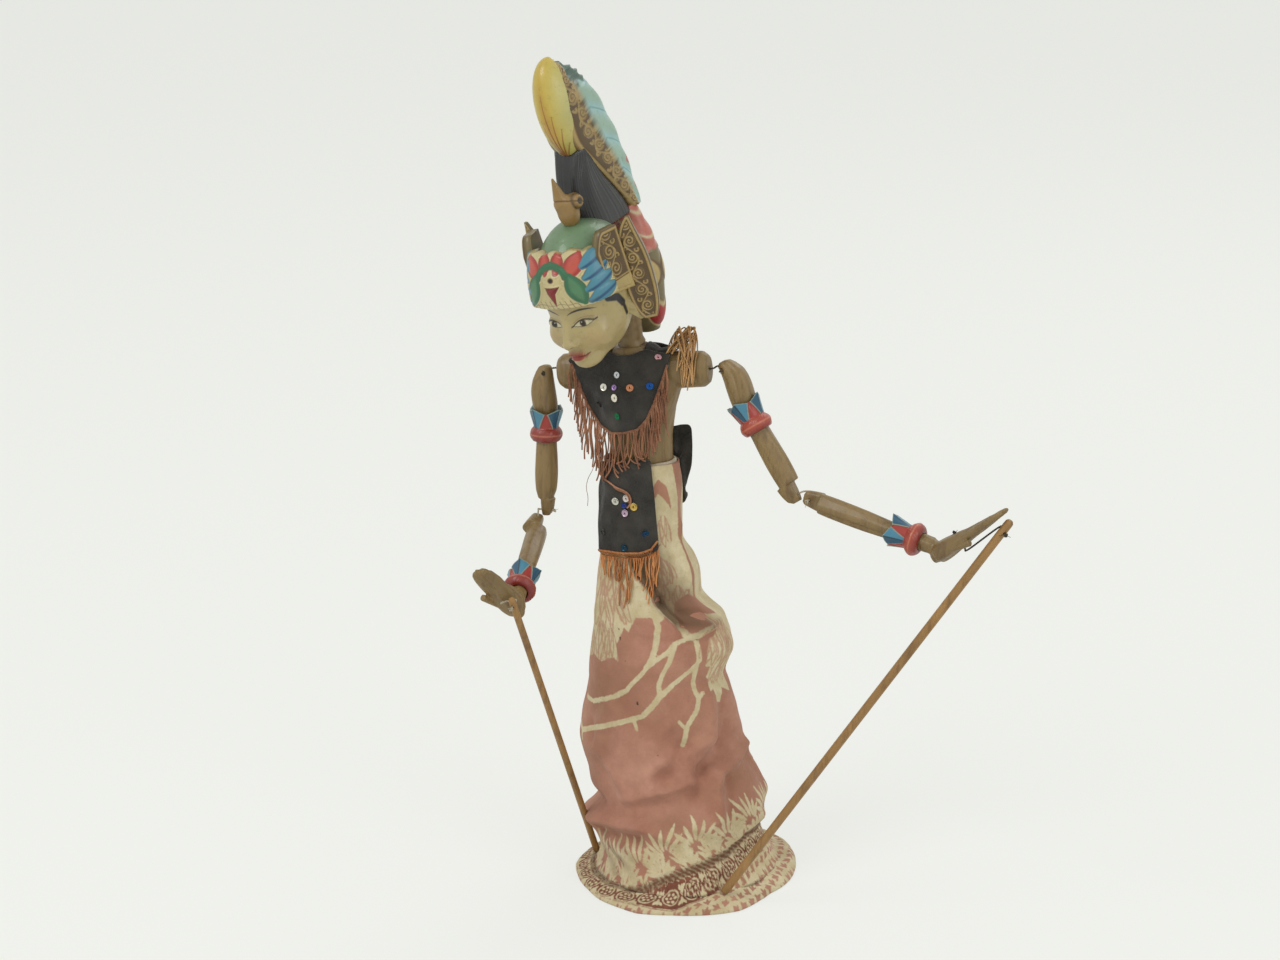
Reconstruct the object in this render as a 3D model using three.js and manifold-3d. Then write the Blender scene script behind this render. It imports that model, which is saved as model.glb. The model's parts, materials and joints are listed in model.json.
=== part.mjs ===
// Rod puppet on a hidden stand, in millimetres, +Z up.
// The origin is the centre of the stand's underside, and the torso faces -Y.
// The puppet's own left is +X. The whole figure leans on its stand.
import * as THREE from 'three';
import { mergeVertices } from 'three/addons/utils/BufferGeometryUtils.js';
import Module from 'manifold-3d';

const wasm = await Module();
wasm.setup();

// Clearances
const gap = 0.3;
const holeClearance = 0.4;

// Lean of the figure on its stand
const leanDegrees = 6;
const leanBearing = 20;

// Stand
const boardDiameter = 104;
const boardThickness = 6;
const boardSides = 48;
const boardClearance = 1;
const socketDiameter = 34;
const socketHeight = 30;

// Central rod
const gripDiameter = 14;
const stemDiameter = 9;
const rodFootHeight = 8.2;
const stepHeight = 262;
const rodInHead = 10;

// Torso
const torsoTopHeight = 380;
const shoulderDrop = 18;
const shoulderHalfWidth = 54;
const shoulderBarHeight = 26;
const shoulderBarDepth = 20;
const waistBandRise = 31;
const waistBandWidth = 7;
const waistBandThickness = 1.9;

// Skirt, with its border spread on the floor
const skirtWall = 1.6;
const borderHeight = 9;
const hemHalfWidth = 75;
const hemHalfDepth = 85;
const hemThickness = 3.6;
const skirtFoldCount = 5;
const skirtFoldDepth = 0.035;
const skirtSides = 30;

// Velvet and fringe
const clothThickness = 1.8;
const fringeThickness = 2.4;
const apronWidth = 42;
const apronLength = 57;
const apronTuck = 3;
const apronCentre = -4;
const apronFringeLength = 17;
const bibFringeLength = 25;

// Head, in its own frame: chin near z 0, face toward -y
const headTurn = -13;
const headNod = 14;
const headRoll = -4;
const neckRise = 12;
const neckDiameter = 17;
const headWidth = 59;
const headDepth = 76;
const headHeight = 88;
const headCentreDepth = -25;
const headCentreHeight = 46;
const capThickness = 3.2;
const capRimHeight = 70;
const diademThickness = 3.6;
const diademBottom = 47;
const diademTop = 80;
const diademSpread = 62;

// Crest
const crestWidth = 27;
const crestBevel = 3;
const domeWidth = 30;

// Ear wings and panels
const wingHeight = 70;
const wingWidth = 20;
const wingThickness = 4;
const wingSpread = 37;
const panelHeight = 46;
const panelWidth = 22;
const panelThickness = 3;

// Strings
const stringDiameter = 1.5;
const knotRadius = 1.7;

// Limbs
const shoulderReach = 10;
const upperArmThickness = 17;
const forearmThickness = 13.5;
const ringDiameter = 22;
const ringHeight = 10;
const petalLength = 13;
const petalCount = 8;
const petalFlare = 12;
const bandSides = 16;

const armletBore = 7.1;
const armletPlace = 43;
const braceletBore = 5.9;
const braceletPlace = 78;
const handWidth = 17;
const fingerPitch = 4;
const handHoleDistance = 20;

// Hand rods
const leftRodDiameter = 5.8;
const rightRodDiameter = 4.8;

// Heights that follow from the sizes above
const shoulderHeight = torsoTopHeight - shoulderDrop;
const neckTop = torsoTopHeight + neckRise;
const rodTopHeight = neckTop + rodInHead;
const waistBandHeight = stepHeight + waistBandRise;
const skirtTop = waistBandHeight + waistBandWidth;
const apronTop = skirtTop + apronTuck;

const sRGB = (r, g, b) => new THREE.Color().setRGB(r / 255, g / 255, b / 255, THREE.SRGBColorSpace);
const finish = (color, roughness) => new THREE.MeshStandardMaterial({ color, roughness, metalness: 0 });
const wood = finish(sRGB(150, 122, 75), 0.45);
const standWood = finish(sRGB(140, 105, 70), 0.7);
const rodWood = finish(sRGB(150, 112, 65), 0.5);
const facePaint = finish(sRGB(215, 195, 150), 0.4);
const capPaint = finish(sRGB(115, 160, 135), 0.35);
const redPaint = finish(sRGB(195, 82, 72), 0.45);
const hairPaint = finish(sRGB(42, 42, 44), 0.25);
const domePaint = finish(sRGB(225, 200, 90), 0.35);
const gildedPaint = finish(sRGB(165, 140, 98), 0.5);
const shellPaint = finish(sRGB(150, 195, 200), 0.4);
const velvet = finish(sRGB(42, 40, 38), 0.95);
const fringeYarn = finish(sRGB(150, 92, 58), 0.9);
const apronYarn = finish(sRGB(200, 120, 62), 0.9);
const batik = finish(sRGB(190, 128, 116), 0.9);
const string = finish(sRGB(205, 195, 175), 0.9);

const radians = THREE.MathUtils.degToRad;
const vec = (x, y, z) => new THREE.Vector3(x, y, z);

// Solids

function solid(geometry) {
  const bare = geometry.index ? geometry.toNonIndexed() : geometry.clone();
  bare.deleteAttribute('normal');
  bare.deleteAttribute('uv');
  const merged = mergeVertices(bare, 1e-4);
  const corners = [];
  const index = merged.index.array;
  for (let i = 0; i < index.length; i += 3) {
    const [a, b, c] = [index[i], index[i + 1], index[i + 2]];
    if (a !== b && b !== c && c !== a) {
      corners.push(a, b, c);
    }
  }
  const result = new wasm.Manifold(new wasm.Mesh({
    numProp: 3,
    vertProperties: new Float32Array(merged.attributes.position.array),
    triVerts: new Uint32Array(corners),
  }));
  return result;
}

function geometryOf(manifold) {
  const mesh = manifold.getMesh();
  const geometry = new THREE.BufferGeometry();
  geometry.setAttribute('position', new THREE.BufferAttribute(new Float32Array(mesh.vertProperties), 3));
  geometry.setIndex(new THREE.BufferAttribute(new Uint32Array(mesh.triVerts), 1));
  geometry.computeVertexNormals();
  return geometry;
}

function largest(manifold) {
  const parts = manifold.decompose();
  parts.sort((a, b) => b.volume() - a.volume());
  return parts[0];
}

// A solid swollen by a distance: each corner moves out along its mitred normal
function grown(manifold, distance) {
  const mesh = manifold.getMesh();
  const places = mesh.vertProperties;
  const corners = mesh.triVerts;
  const count = places.length / 3;
  const point = (i) => vec(places[3 * i], places[3 * i + 1], places[3 * i + 2]);
  const faces = Array.from({ length: count }, () => []);
  for (let i = 0; i < corners.length; i += 3) {
    const [a, b, c] = [point(corners[i]), point(corners[i + 1]), point(corners[i + 2])];
    const normal = b.clone().sub(a).cross(c.clone().sub(a));
    for (const corner of [corners[i], corners[i + 1], corners[i + 2]]) {
      faces[corner].push(normal);
    }
  }
  const result = new Float32Array(places);
  for (let i = 0; i < count; i += 1) {
    const mean = faces[i].reduce((sum, normal) => sum.add(normal), vec(0, 0, 0)).normalize();
    const lowest = Math.min(...faces[i].map((normal) => normal.clone().normalize().dot(mean)));
    mean.multiplyScalar(distance / Math.max(0.5, lowest));
    result[3 * i] += mean.x;
    result[3 * i + 1] += mean.y;
    result[3 * i + 2] += mean.z;
  }
  return new wasm.Manifold(new wasm.Mesh({ numProp: 3, vertProperties: result, triVerts: corners }));
}

function cutBy(piece, ...others) {
  let result = piece;
  for (const other of others) {
    result = result.subtract(grown(other, gap)).subtract(other);
  }
  return largest(result);
}

// Closed skin over rings of points that all have the same count
function skin(rings) {
  const count = rings[0].length;
  const positions = rings.flat().flatMap((point) => [point.x, point.y, point.z]);
  const index = [];
  for (let r = 0; r < rings.length - 1; r += 1) {
    for (let i = 0; i < count; i += 1) {
      const j = (i + 1) % count;
      const [a, b, c, d] = [r * count + i, r * count + j, (r + 1) * count + i, (r + 1) * count + j];
      index.push(a, b, d, a, d, c);
    }
  }
  for (const [ring, flip] of [[0, true], [rings.length - 1, false]]) {
    const centre = rings[ring].reduce((sum, point) => sum.add(point), vec(0, 0, 0)).divideScalar(count);
    const middle = positions.length / 3;
    positions.push(centre.x, centre.y, centre.z);
    for (let i = 0; i < count; i += 1) {
      const [a, b] = [ring * count + i, ring * count + ((i + 1) % count)];
      index.push(...(flip ? [b, a, middle] : [a, b, middle]));
    }
  }
  const geometry = new THREE.BufferGeometry();
  geometry.setAttribute('position', new THREE.Float32BufferAttribute(positions, 3));
  geometry.setIndex(index);
  return solid(geometry);
}

// Ring of an ellipse at height z, about a centre
function ovalRing(centre, halfX, halfY, sides, power = 1) {
  const ring = [];
  for (let i = 0; i < sides; i += 1) {
    const angle = (i / sides) * 2 * Math.PI;
    const c = Math.cos(angle);
    const s = Math.sin(angle);
    const x = Math.sign(c) * Math.abs(c) ** power * halfX;
    const y = Math.sign(s) * Math.abs(s) ** power * halfY;
    ring.push(vec(centre.x + x, centre.y + y, centre.z));
  }
  return ring;
}

// Solid along z through stations of [z, half x, half y, centre x, centre y]
function tapered(stations, sides = 20, power = 1) {
  return skin(stations.map(([z, a, b, x = 0, y = 0]) => ovalRing(vec(x, y, z), a, b, sides, power)));
}

function ellipsoid(x, y, z, rx, ry, rz, sides = 24) {
  const ball = solid(new THREE.SphereGeometry(1, sides, sides / 2));
  return ball.scale([rx, ry, rz]).translate([x, y, z]);
}

// Round bar between two points
function bar(from, to, diameter, sides = 12) {
  const length = from.distanceTo(to);
  const rod = new THREE.CylinderGeometry(diameter / 2, diameter / 2, length, sides);
  rod.rotateX(Math.PI / 2);
  rod.applyQuaternion(new THREE.Quaternion().setFromUnitVectors(vec(0, 0, 1), to.clone().sub(from).normalize()));
  const middle = from.clone().add(to).multiplyScalar(0.5);
  rod.translate(middle.x, middle.y, middle.z);
  return solid(rod);
}

// Plate with an outline in x and z, standing along y
function plateXZ(points, yFrom, yTo, bevel = 0) {
  const shape = new THREE.Shape(points.map(([x, z]) => new THREE.Vector2(x, z)));
  const geometry = new THREE.ExtrudeGeometry(shape, {
    depth: yTo - yFrom - 2 * bevel,
    bevelEnabled: bevel > 0,
    bevelThickness: bevel,
    bevelSize: bevel,
    bevelOffset: -bevel,
    bevelSegments: 2,
    curveSegments: 6,
  });
  geometry.rotateX(Math.PI / 2);
  geometry.translate(0, yTo - bevel, 0);
  return solid(geometry);
}

// Plate with an outline in y and z, standing along x and centred on it
function plateYZ(shape, width, bevel = 0) {
  const geometry = new THREE.ExtrudeGeometry(shape, {
    depth: width - 2 * bevel,
    bevelEnabled: bevel > 0,
    bevelThickness: bevel,
    bevelSize: bevel,
    bevelOffset: -bevel,
    bevelSegments: 3,
    curveSegments: 8,
  });
  geometry.translate(0, 0, -(width - 2 * bevel) / 2);
  const turn = new THREE.Matrix4().makeBasis(vec(0, 1, 0), vec(0, 0, 1), vec(1, 0, 0));
  geometry.applyMatrix4(turn);
  return solid(geometry);
}

function mesh(name, manifold, material) {
  const result = new THREE.Mesh(geometryOf(manifold), material);
  result.name = name;
  return result;
}

function moved(manifold, matrix) {
  return manifold.transform(matrix.elements);
}

// Figure frame

const figure = new THREE.Group();
figure.rotation.set(
  radians(leanDegrees * Math.sin(radians(leanBearing))),
  radians(-leanDegrees * Math.cos(radians(leanBearing))),
  0,
);
figure.updateMatrixWorld(true);
const toWorld = figure.matrixWorld.clone();
const toFigure = toWorld.clone().invert();
const inWorld = (point) => point.clone().applyMatrix4(toWorld);
const inFigure = (point) => point.clone().applyMatrix4(toFigure);

const root = new THREE.Group();
root.add(figure);

// Stand, level on the floor

function makeStand() {
  const board = new THREE.CylinderGeometry(boardDiameter / 2, boardDiameter / 2, boardThickness, boardSides);
  board.rotateX(Math.PI / 2);
  board.translate(0, 0, boardThickness / 2);
  const bore = bar(inWorld(vec(0, 0, -20)), inWorld(vec(0, 0, socketHeight * 2)), gripDiameter + 2 * gap, 24);
  const socketBase = boardThickness + gap;
  const block = new THREE.CylinderGeometry(
    socketDiameter / 2 - 2,
    socketDiameter / 2,
    socketHeight,
    24,
  );
  block.rotateX(Math.PI / 2);
  block.translate(0, 0, socketBase + socketHeight / 2);
  root.add(mesh('stand_board', solid(board), standWood));
  root.add(mesh('stand_socket', solid(block).subtract(bore), standWood));
}

// Central rod, turned with a step that carries the torso

function makeCentralRod() {
  const profile = [
    [0, rodFootHeight],
    [gripDiameter / 2 - 1, rodFootHeight],
    [gripDiameter / 2, rodFootHeight + 1],
    [gripDiameter / 2, stepHeight],
    [stemDiameter / 2, stepHeight],
    [stemDiameter / 2, rodTopHeight - 1],
    [stemDiameter / 2 - 1, rodTopHeight],
    [0, rodTopHeight],
  ];
  const rod = new THREE.LatheGeometry(profile.map(([r, z]) => new THREE.Vector2(r, z)), 24);
  rod.rotateX(Math.PI / 2);
  return solid(rod);
}

// Torso with its shoulder bar

function makeTorso() {
  const chestBase = stepHeight + gap;
  const chestHeight = torsoTopHeight - chestBase;
  const chest = tapered([
    [0, 19, 13.5],
    [0.252, 20, 14.5],
    [0.456, 22, 17],
    [0.626, 27, 18.5],
    [0.745, 33, 18],
    [0.847, 35, 15.5],
    [0.932, 24, 12.5],
    [1, 11.5, 11],
  ].map(([share, a, b]) => [chestBase + share * chestHeight, a, b]), 22);
  const end = shoulderHalfWidth;
  const lift = shoulderHeight;
  const barRings = [[-end, 0.72], [-end + 4, 0.95], [-30, 1], [30, 1], [end - 4, 0.95], [end, 0.72]];
  const shoulders = skin(barRings.map(([x, share]) => {
    const ring = ovalRing(vec(0, 0, 0), (shoulderBarHeight / 2) * share, (shoulderBarDepth / 2) * share, 20);
    return ring.map((point) => vec(x, point.y, lift - point.x));
  }));
  const bore = bar(vec(0, 0, stepHeight - 5), vec(0, 0, rodTopHeight), stemDiameter + 2 * gap, 24);
  let result = chest.add(shoulders).subtract(bore);
  for (const side of [-1, 1]) {
    const from = vec(side * (end - 9.5), 0, lift);
    result = result.subtract(bar(from, vec(side * (end + 4), 0, lift), stringDiameter + 2 * holeClearance, 10));
  }
  return result;
}

// Skirt: rings that follow the cloth from waist to floor
// Each station is share of the height, half width, half depth, centre x, share of the fold depth

const skirtStations = [
  [1, 25.5, 19.4, 0, 0.2],
  [0.96, 27.5, 20.6, -2, 0.4],
  [0.873, 29.5, 22, -5, 0.6],
  [0.787, 31.5, 24, -6.5, 0.7],
  [0.66, 36.5, 30, -7.5, 0.9],
  [0.587, 47, 37, -3, 1],
  [0.5, 51, 42, -4, 1.1],
  [0.42, 53, 45, -7.5, 1.2],
  [0.34, 56, 48, -9, 1.2],
  [0.26, 57.5, 52, -7, 1],
  [0.193, 59, 56, -3, 0.8],
  [0.133, 59.5, 58, -4, 0.5],
  [0.073, 58, 59.5, 1, 0.2],
].map(([share, ...rest]) => [share * skirtTop, ...rest]);

// Each station is height, share of the hem's half sizes, share of the fold depth
const hemStations = [
  [borderHeight, 0.77, 0.2],
  [borderHeight * 0.8, 0.87, 0.3],
  [hemThickness * 1.4, 0.93, 0.4],
  [hemThickness, 0.97, 0.5],
  [hemThickness * 0.45, 1, 0.5],
  [0, 0.99, 0.5],
];

function skirtRing(centre, halfX, halfY, fold, phase) {
  const ring = [];
  for (let i = 0; i < skirtSides; i += 1) {
    const angle = (i / skirtSides) * 2 * Math.PI;
    const first = Math.cos(skirtFoldCount * angle + phase);
    const second = 0.6 * Math.cos((skirtFoldCount * 2 - 1) * angle - 1.4 * phase + 1);
    const swell = 1 + skirtFoldDepth * fold * (first + second);
    ring.push(vec(
      centre.x + halfX * swell * Math.cos(angle),
      centre.y + halfY * swell * Math.sin(angle),
      centre.z,
    ));
  }
  return ring;
}

function flatBand(zFrom, zTo) {
  const slab = new THREE.BoxGeometry(400, 400, zTo - zFrom);
  slab.translate(0, 0, (zFrom + zTo) / 2);
  return solid(slab);
}

function makeSkirt() {
  const outer = [];
  const inner = [];
  for (const [z, halfX, halfY, x, fold] of skirtStations) {
    const centre = inWorld(vec(x, 0, z));
    const phase = z / 60;
    outer.push(skirtRing(centre, halfX, halfY, fold, phase));
    inner.push(skirtRing(centre, halfX - skirtWall, halfY - skirtWall, fold, phase));
  }
  const last = skirtStations[skirtStations.length - 1];
  for (const [z, share, fold] of hemStations) {
    outer.push(skirtRing(vec(0, -3 * share, z), hemHalfWidth * share, hemHalfDepth * share, fold, last[0] / 60));
  }
  const footHalf = boardDiameter / 2 + boardClearance;
  for (const z of [boardThickness + 2 * boardClearance, -1]) {
    inner.push(skirtRing(vec(0, 0, z), footHalf, footHalf, 0, 0));
  }
  inner.unshift(inner[0].map((point) => vec(point.x, point.y, point.z + 1)));
  const filled = skin(outer.slice().reverse());
  const shell = filled.subtract(skin(inner.slice().reverse()));
  return {
    filled,
    wall: largest(shell.intersect(flatBand(borderHeight, skirtTop * 2))),
    border: largest(shell.intersect(flatBand(-1, borderHeight - gap))),
  };
}

makeStand();
const centralRod = makeCentralRod();
const torso = makeTorso();
const skirtParts = makeSkirt();
const skirtFilled = moved(skirtParts.filled, toFigure);
root.add(mesh('skirt_border', skirtParts.border, batik));

const waistBand = largest(grown(torso, waistBandThickness + gap)
  .subtract(grown(torso, gap))
  .intersect(flatBand(waistBandHeight, waistBandHeight + waistBandWidth)));

// Cloth laid on the front or back of what is under it

function laid(outline, under, thickness, front, ...others) {
  const reach = 70;
  const prism = front ? plateXZ(outline, -reach, -1) : plateXZ(outline, 1, reach);
  const heights = outline.map(([, z]) => z);
  const margin = 2 * (gap + thickness);
  const near = under.intersect(flatBand(Math.min(...heights) - margin, Math.max(...heights) + margin));
  const out = front ? -1 : 1;
  const sheet = near.translate([0, out * (gap + thickness), 0])
    .subtract(near.translate([0, out * gap, 0]))
    .subtract(near)
    .intersect(prism);
  return cutBy(largest(sheet), waistBand, ...others);
}

const below = (height, points) => points.map(([x, drop]) => [x, height - drop]);

const bibEdge = below(torsoTopHeight, [
  [-34, 9], [-33, 25], [-28, 39], [-19, 50], [-6, 54], [8, 51], [17, 42], [23, 28], [28, 10],
]);
const bibTop = below(torsoTopHeight, [[14, 3], [-14, 3]]);
const bib = laid([...bibEdge, ...bibTop], torso, clothThickness, true, centralRod);
const backBib = laid(
  below(torsoTopHeight, [[-28, 9], [-24, 40], [0, 50], [24, 40], [28, 9], [14, 3], [-14, 3]]),
  torso,
  clothThickness,
  false,
  centralRod,
);
const fringeEdge = bibEdge.map(([x, z]) => [x * 1.06 - 0.5, z - bibFringeLength]);
const bodyUnder = torso.add(skirtFilled).add(waistBand);
const bibFringe = laid(
  [...bibEdge.map(([x, z]) => [x, z - 1.5]), ...fringeEdge.reverse()],
  bodyUnder,
  fringeThickness,
  true,
  bib,
);

const apronLeft = apronCentre - apronWidth / 2;
const apronRight = apronCentre + apronWidth / 2;
const apronBottom = apronTop - apronLength;
const apron = laid(
  [[apronLeft, apronTop], [apronLeft, apronBottom], [apronRight, apronBottom], [apronRight, apronTop]],
  bodyUnder,
  clothThickness,
  true,
  bibFringe,
);
const apronFringe = laid(
  [
    [apronLeft + 4, apronBottom - gap],
    [apronLeft + 7, apronBottom - apronFringeLength],
    [apronRight, apronBottom - apronFringeLength - 8],
    [apronRight, apronBottom - gap],
  ],
  bodyUnder,
  clothThickness,
  true,
  apron,
);
const backPanel = laid(
  below(apronTop, [[6, -15], [8, 37], [22, 41], [26, -17]]),
  bodyUnder,
  clothThickness,
  false,
  backBib,
);

// Head and what is carved on it

const headFrame = new THREE.Group();
headFrame.position.set(0, 0, neckTop);
headFrame.rotation.order = 'ZXY';
headFrame.rotation.set(radians(headNod), radians(headRoll), radians(headTurn));
headFrame.updateMatrix();
const headToFigure = headFrame.matrix.clone();
const figureToHead = headToFigure.clone().invert();

function skull(extra) {
  return ellipsoid(
    0,
    headCentreDepth,
    headCentreHeight,
    headWidth / 2 + extra,
    headDepth / 2 + extra,
    headHeight / 2 + extra,
    20,
  );
}

function makeHead() {
  const jaw = ellipsoid(0, -39, 22, 21, 23.5, 23.5, 18);
  const nose = ellipsoid(0, -63, 26, 4.5, 6, 10, 10);
  const neck = moved(
    tapered([[torsoTopHeight + gap, 10, 10], [torsoTopHeight + 4, neckDiameter / 2, neckDiameter / 2],
      [neckTop + 16, neckDiameter / 2, neckDiameter / 2]], 20),
    figureToHead,
  );
  const bore = moved(
    bar(vec(0, 0, torsoTopHeight - 4), vec(0, 0, rodTopHeight + gap), stemDiameter + 2 * gap, 24),
    figureToHead,
  );
  let result = skull(0).add(jaw).add(nose).add(neck);
  for (const side of [-1, 1]) {
    result = result.add(ellipsoid(side * (headWidth / 2 - 1), -22, 26, 4, 7, 11, 10));
  }
  return result.subtract(bore);
}

function above(z) {
  const block = new THREE.BoxGeometry(200, 200, 200);
  block.translate(0, 0, z + 100);
  return solid(block);
}

function makeDiadem(head) {
  const arc = [];
  const steps = 12;
  const innerX = headWidth / 2 - 2;
  const innerY = headDepth / 2 - 2;
  for (let i = 0; i <= steps; i += 1) {
    const angle = radians(-90 - diademSpread + (2 * diademSpread * i) / steps);
    arc.push([Math.cos(angle), Math.sin(angle)]);
  }
  const reach = diademThickness + 2;
  const outline = [
    ...arc.map(([c, s]) => new THREE.Vector2(c * (innerX + reach), headCentreDepth + s * (innerY + reach))),
    ...arc.reverse().map(([c, s]) => new THREE.Vector2(c * innerX, headCentreDepth + s * innerY)),
  ];
  const band = new THREE.ExtrudeGeometry(new THREE.Shape(outline), {
    depth: diademTop - diademBottom,
    bevelEnabled: false,
  });
  band.translate(0, 0, diademBottom);
  const lean = new THREE.Matrix4().makeRotationX(radians(-14));
  const pivot = vec(0, headCentreDepth - innerY, diademBottom);
  const about = new THREE.Matrix4().makeTranslation(pivot.x, pivot.y, pivot.z)
    .multiply(lean)
    .multiply(new THREE.Matrix4().makeTranslation(-pivot.x, -pivot.y, -pivot.z));
  return cutBy(moved(solid(band), about), head);
}

const yz = (points) => points.map(([y, z]) => new THREE.Vector2(y, z));

// Points along a smooth curve through a few places
function smooth(points, steps) {
  return new THREE.SplineCurve(yz(points)).getPoints(steps);
}

function makeCrestShell() {
  const front = smooth([[5, 192], [-1, 179], [-5.6, 160], [-6.4, 139], [0.6, 125], [17, 98], [31, 74]], 18);
  const back = smooth([[41, 73], [42.5, 92], [41.5, 118], [35, 149], [20, 177], [9, 192]], 14);
  return plateYZ(new THREE.Shape([...front, ...back]), crestWidth, crestBevel);
}

function makeDome() {
  const bulge = ellipsoid(0, 4, 158, domeWidth / 2, 20, 36, 18);
  const front = new THREE.BoxGeometry(60, 60, 120);
  front.translate(0, -24, 158);
  return bulge.intersect(solid(front));
}

function makeHair() {
  const front = smooth([[-20, 84], [-20, 100], [-15, 118], [-7, 130]], 8);
  const rest = yz([[2, 126], [30, 84], [30, 66], [-18, 70]]);
  return plateYZ(new THREE.Shape([...front, ...rest]), crestWidth - 2, crestBevel + 1);
}

function makeFinial() {
  const body = ellipsoid(0, -27, 97, 6.5, 6, 9, 14);
  const beak = tapered([[0, 4, 3.6], [8, 3, 2.6], [16, 1, 0.8]], 12);
  const lean = new THREE.Matrix4().makeTranslation(0, -28, 100)
    .multiply(new THREE.Matrix4().makeRotationX(radians(18)));
  return body.add(moved(beak, lean).scale([1, 1, 1]));
}

function makeWing(side) {
  const half = wingWidth / 2;
  const shape = [
    [-half * 0.5, 0], [half * 0.4, -1], [half * 0.95, 18], [half, 38],
    [half * 0.85, 54], [half * 0.5, wingHeight], [-half * 0.1, 58], [-half * 0.9, 44], [-half, 20],
  ];
  const plate = plateXZ(shape, -wingThickness / 2, wingThickness / 2);
  const place = new THREE.Matrix4().makeTranslation(side * wingSpread, -20, 18)
    .multiply(new THREE.Matrix4().makeRotationZ(radians(side * 25)))
    .multiply(new THREE.Matrix4().makeScale(side, 1, 1));
  return moved(plate, place);
}

function makePanel(side) {
  const shape = new THREE.Shape(yz([
    [-panelWidth / 2, 4], [panelWidth / 2, 0], [panelWidth / 2, panelHeight],
    [0, panelHeight - 6], [-panelWidth / 2, panelHeight - 12],
  ]));
  const plate = plateYZ(shape, panelThickness + 6);
  const place = new THREE.Matrix4().makeTranslation(side * (headWidth / 2 - 1), -34, 42)
    .multiply(new THREE.Matrix4().makeRotationZ(radians(side * -14)));
  return moved(plate, place);
}

function makeNape() {
  return tapered([
    [-12, 9, 6, 0, 20],
    [4, 16, 9, 0, 23],
    [26, 21, 12, 0, 25],
    [46, 22, 13, 0, 26],
    [62, 18, 11, 0, 28],
    [76, 11, 7, 0, 31],
  ], 16);
}

const head = makeHead();
const cap = cutBy(
  skull(capThickness).intersect(above(capRimHeight)).subtract(skull(gap)),
  head,
);
const diadem = cutBy(makeDiadem(head), cap);
const hair = cutBy(makeHair(), cap, head);
const crestShell = cutBy(makeCrestShell(), hair, cap, head);
const dome = cutBy(makeDome(), crestShell, hair);
const finial = cutBy(makeFinial(), hair, cap, diadem);
const nape = cutBy(makeNape(), head, cap, crestShell, hair);

const figureMeshes = [
  ['torso', torso, wood],
  ['waist_band', waistBand, string],
  ['skirt', moved(skirtParts.wall, toFigure), batik],
  ['chest_bib', bib, velvet],
  ['back_bib', backBib, velvet],
  ['bib_fringe', bibFringe, fringeYarn],
  ['apron', apron, velvet],
  ['apron_fringe', apronFringe, apronYarn],
  ['back_panel', backPanel, velvet],
  ['central_rod', centralRod, rodWood],
];
for (const [name, shape, material] of figureMeshes) {
  figure.add(mesh(name, shape, material));
}
figure.add(headFrame);
const headMeshes = [
  ['head', head, facePaint],
  ['cap', cap, capPaint],
  ['diadem', diadem, redPaint],
  ['crest_hair', hair, hairPaint],
  ['crest_shell', crestShell, gildedPaint],
  ['crest_dome', dome, domePaint],
  ['bird_finial', finial, gildedPaint],
  ['nape_ornament', nape, shellPaint],
];
for (const [side, label] of [[1, 'left'], [-1, 'right']]) {
  const panel = cutBy(makePanel(side), head, cap, diadem);
  const wing = cutBy(makeWing(side), head, cap, panel, nape);
  headMeshes.push([`${label}_ear_panel`, panel, gildedPaint]);
  headMeshes.push([`${label}_ear_wing`, wing, gildedPaint]);
}
for (const [name, shape, material] of headMeshes) {
  headFrame.add(mesh(name, shape, material));
}

// Arms: points from the arm's own shoulder pivot, and the rod's foot on the floor plan

const arms = {
  left: {
    side: 1,
    elbow: vec(45.2, -9.4, -85.5),
    forearm: vec(55.3, -10.7, -88.1),
    wrist: vec(141, -26, -115),
    heel: vec(144, -29, -121),
    tip: vec(195, -34, -87),
    rodFoot: vec(hemHalfWidth - 30, 30.5 - hemHalfDepth, borderHeight + 0.2),
    rodDiameter: leftRodDiameter,
    rodAlong: -3,
    rodAcross: 0,
    rodBack: vec(-0.8, 0.6, 0),
    elbowTurn: 1,
    forearmBack: vec(0, 1, 0),
    tieDistance: 9,
    tieGap: 2,
  },
  right: {
    side: -1,
    elbow: vec(-9, -8, -96),
    forearm: vec(-12.4, -13.8, -104.1),
    wrist: vec(2.4, -100.6, -130.4),
    heel: vec(5, -104, -137),
    tip: vec(-6, -135, -97.5),
    rodFoot: vec(12.2 - hemHalfWidth, 69.3 - hemHalfDepth, borderHeight),
    rodDiameter: rightRodDiameter,
    rodAlong: -27,
    rodAcross: 9,
    rodBack: vec(0, 1, 0),
    elbowTurn: -1,
    forearmBack: vec(0, 0, 1),
    tieDistance: 6,
    tieGap: 2,
  },
};
for (const arm of Object.values(arms)) {
  arm.shoulder = vec(arm.side * (shoulderHalfWidth + shoulderReach), 0, shoulderHeight);
  for (const name of ['elbow', 'forearm', 'wrist', 'heel', 'tip']) {
    arm[name].add(arm.shoulder);
  }
}

// Frame at one point with z toward another and y as near as it gets to a given direction
function frameAlong(from, to, back) {
  const z = to.clone().sub(from).normalize();
  const y = back.clone().addScaledVector(z, -back.dot(z)).normalize();
  const x = y.clone().cross(z);
  return new THREE.Matrix4().makeBasis(x, y, z).setPosition(from);
}

const at = (frame, x, y, z) => vec(x, y, z).applyMatrix4(frame);
const along = (axis) => (axis === 'x' ? vec(1, 0, 0) : vec(0, 1, 0));

// Hole across a limb at a distance from its pivot
function crossHole(axis, z, reach = 20) {
  const from = along(axis).multiplyScalar(-reach);
  const to = along(axis).multiplyScalar(reach);
  from.z = z;
  to.z = z;
  return bar(from, to, stringDiameter + 2 * holeClearance, 10);
}

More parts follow.
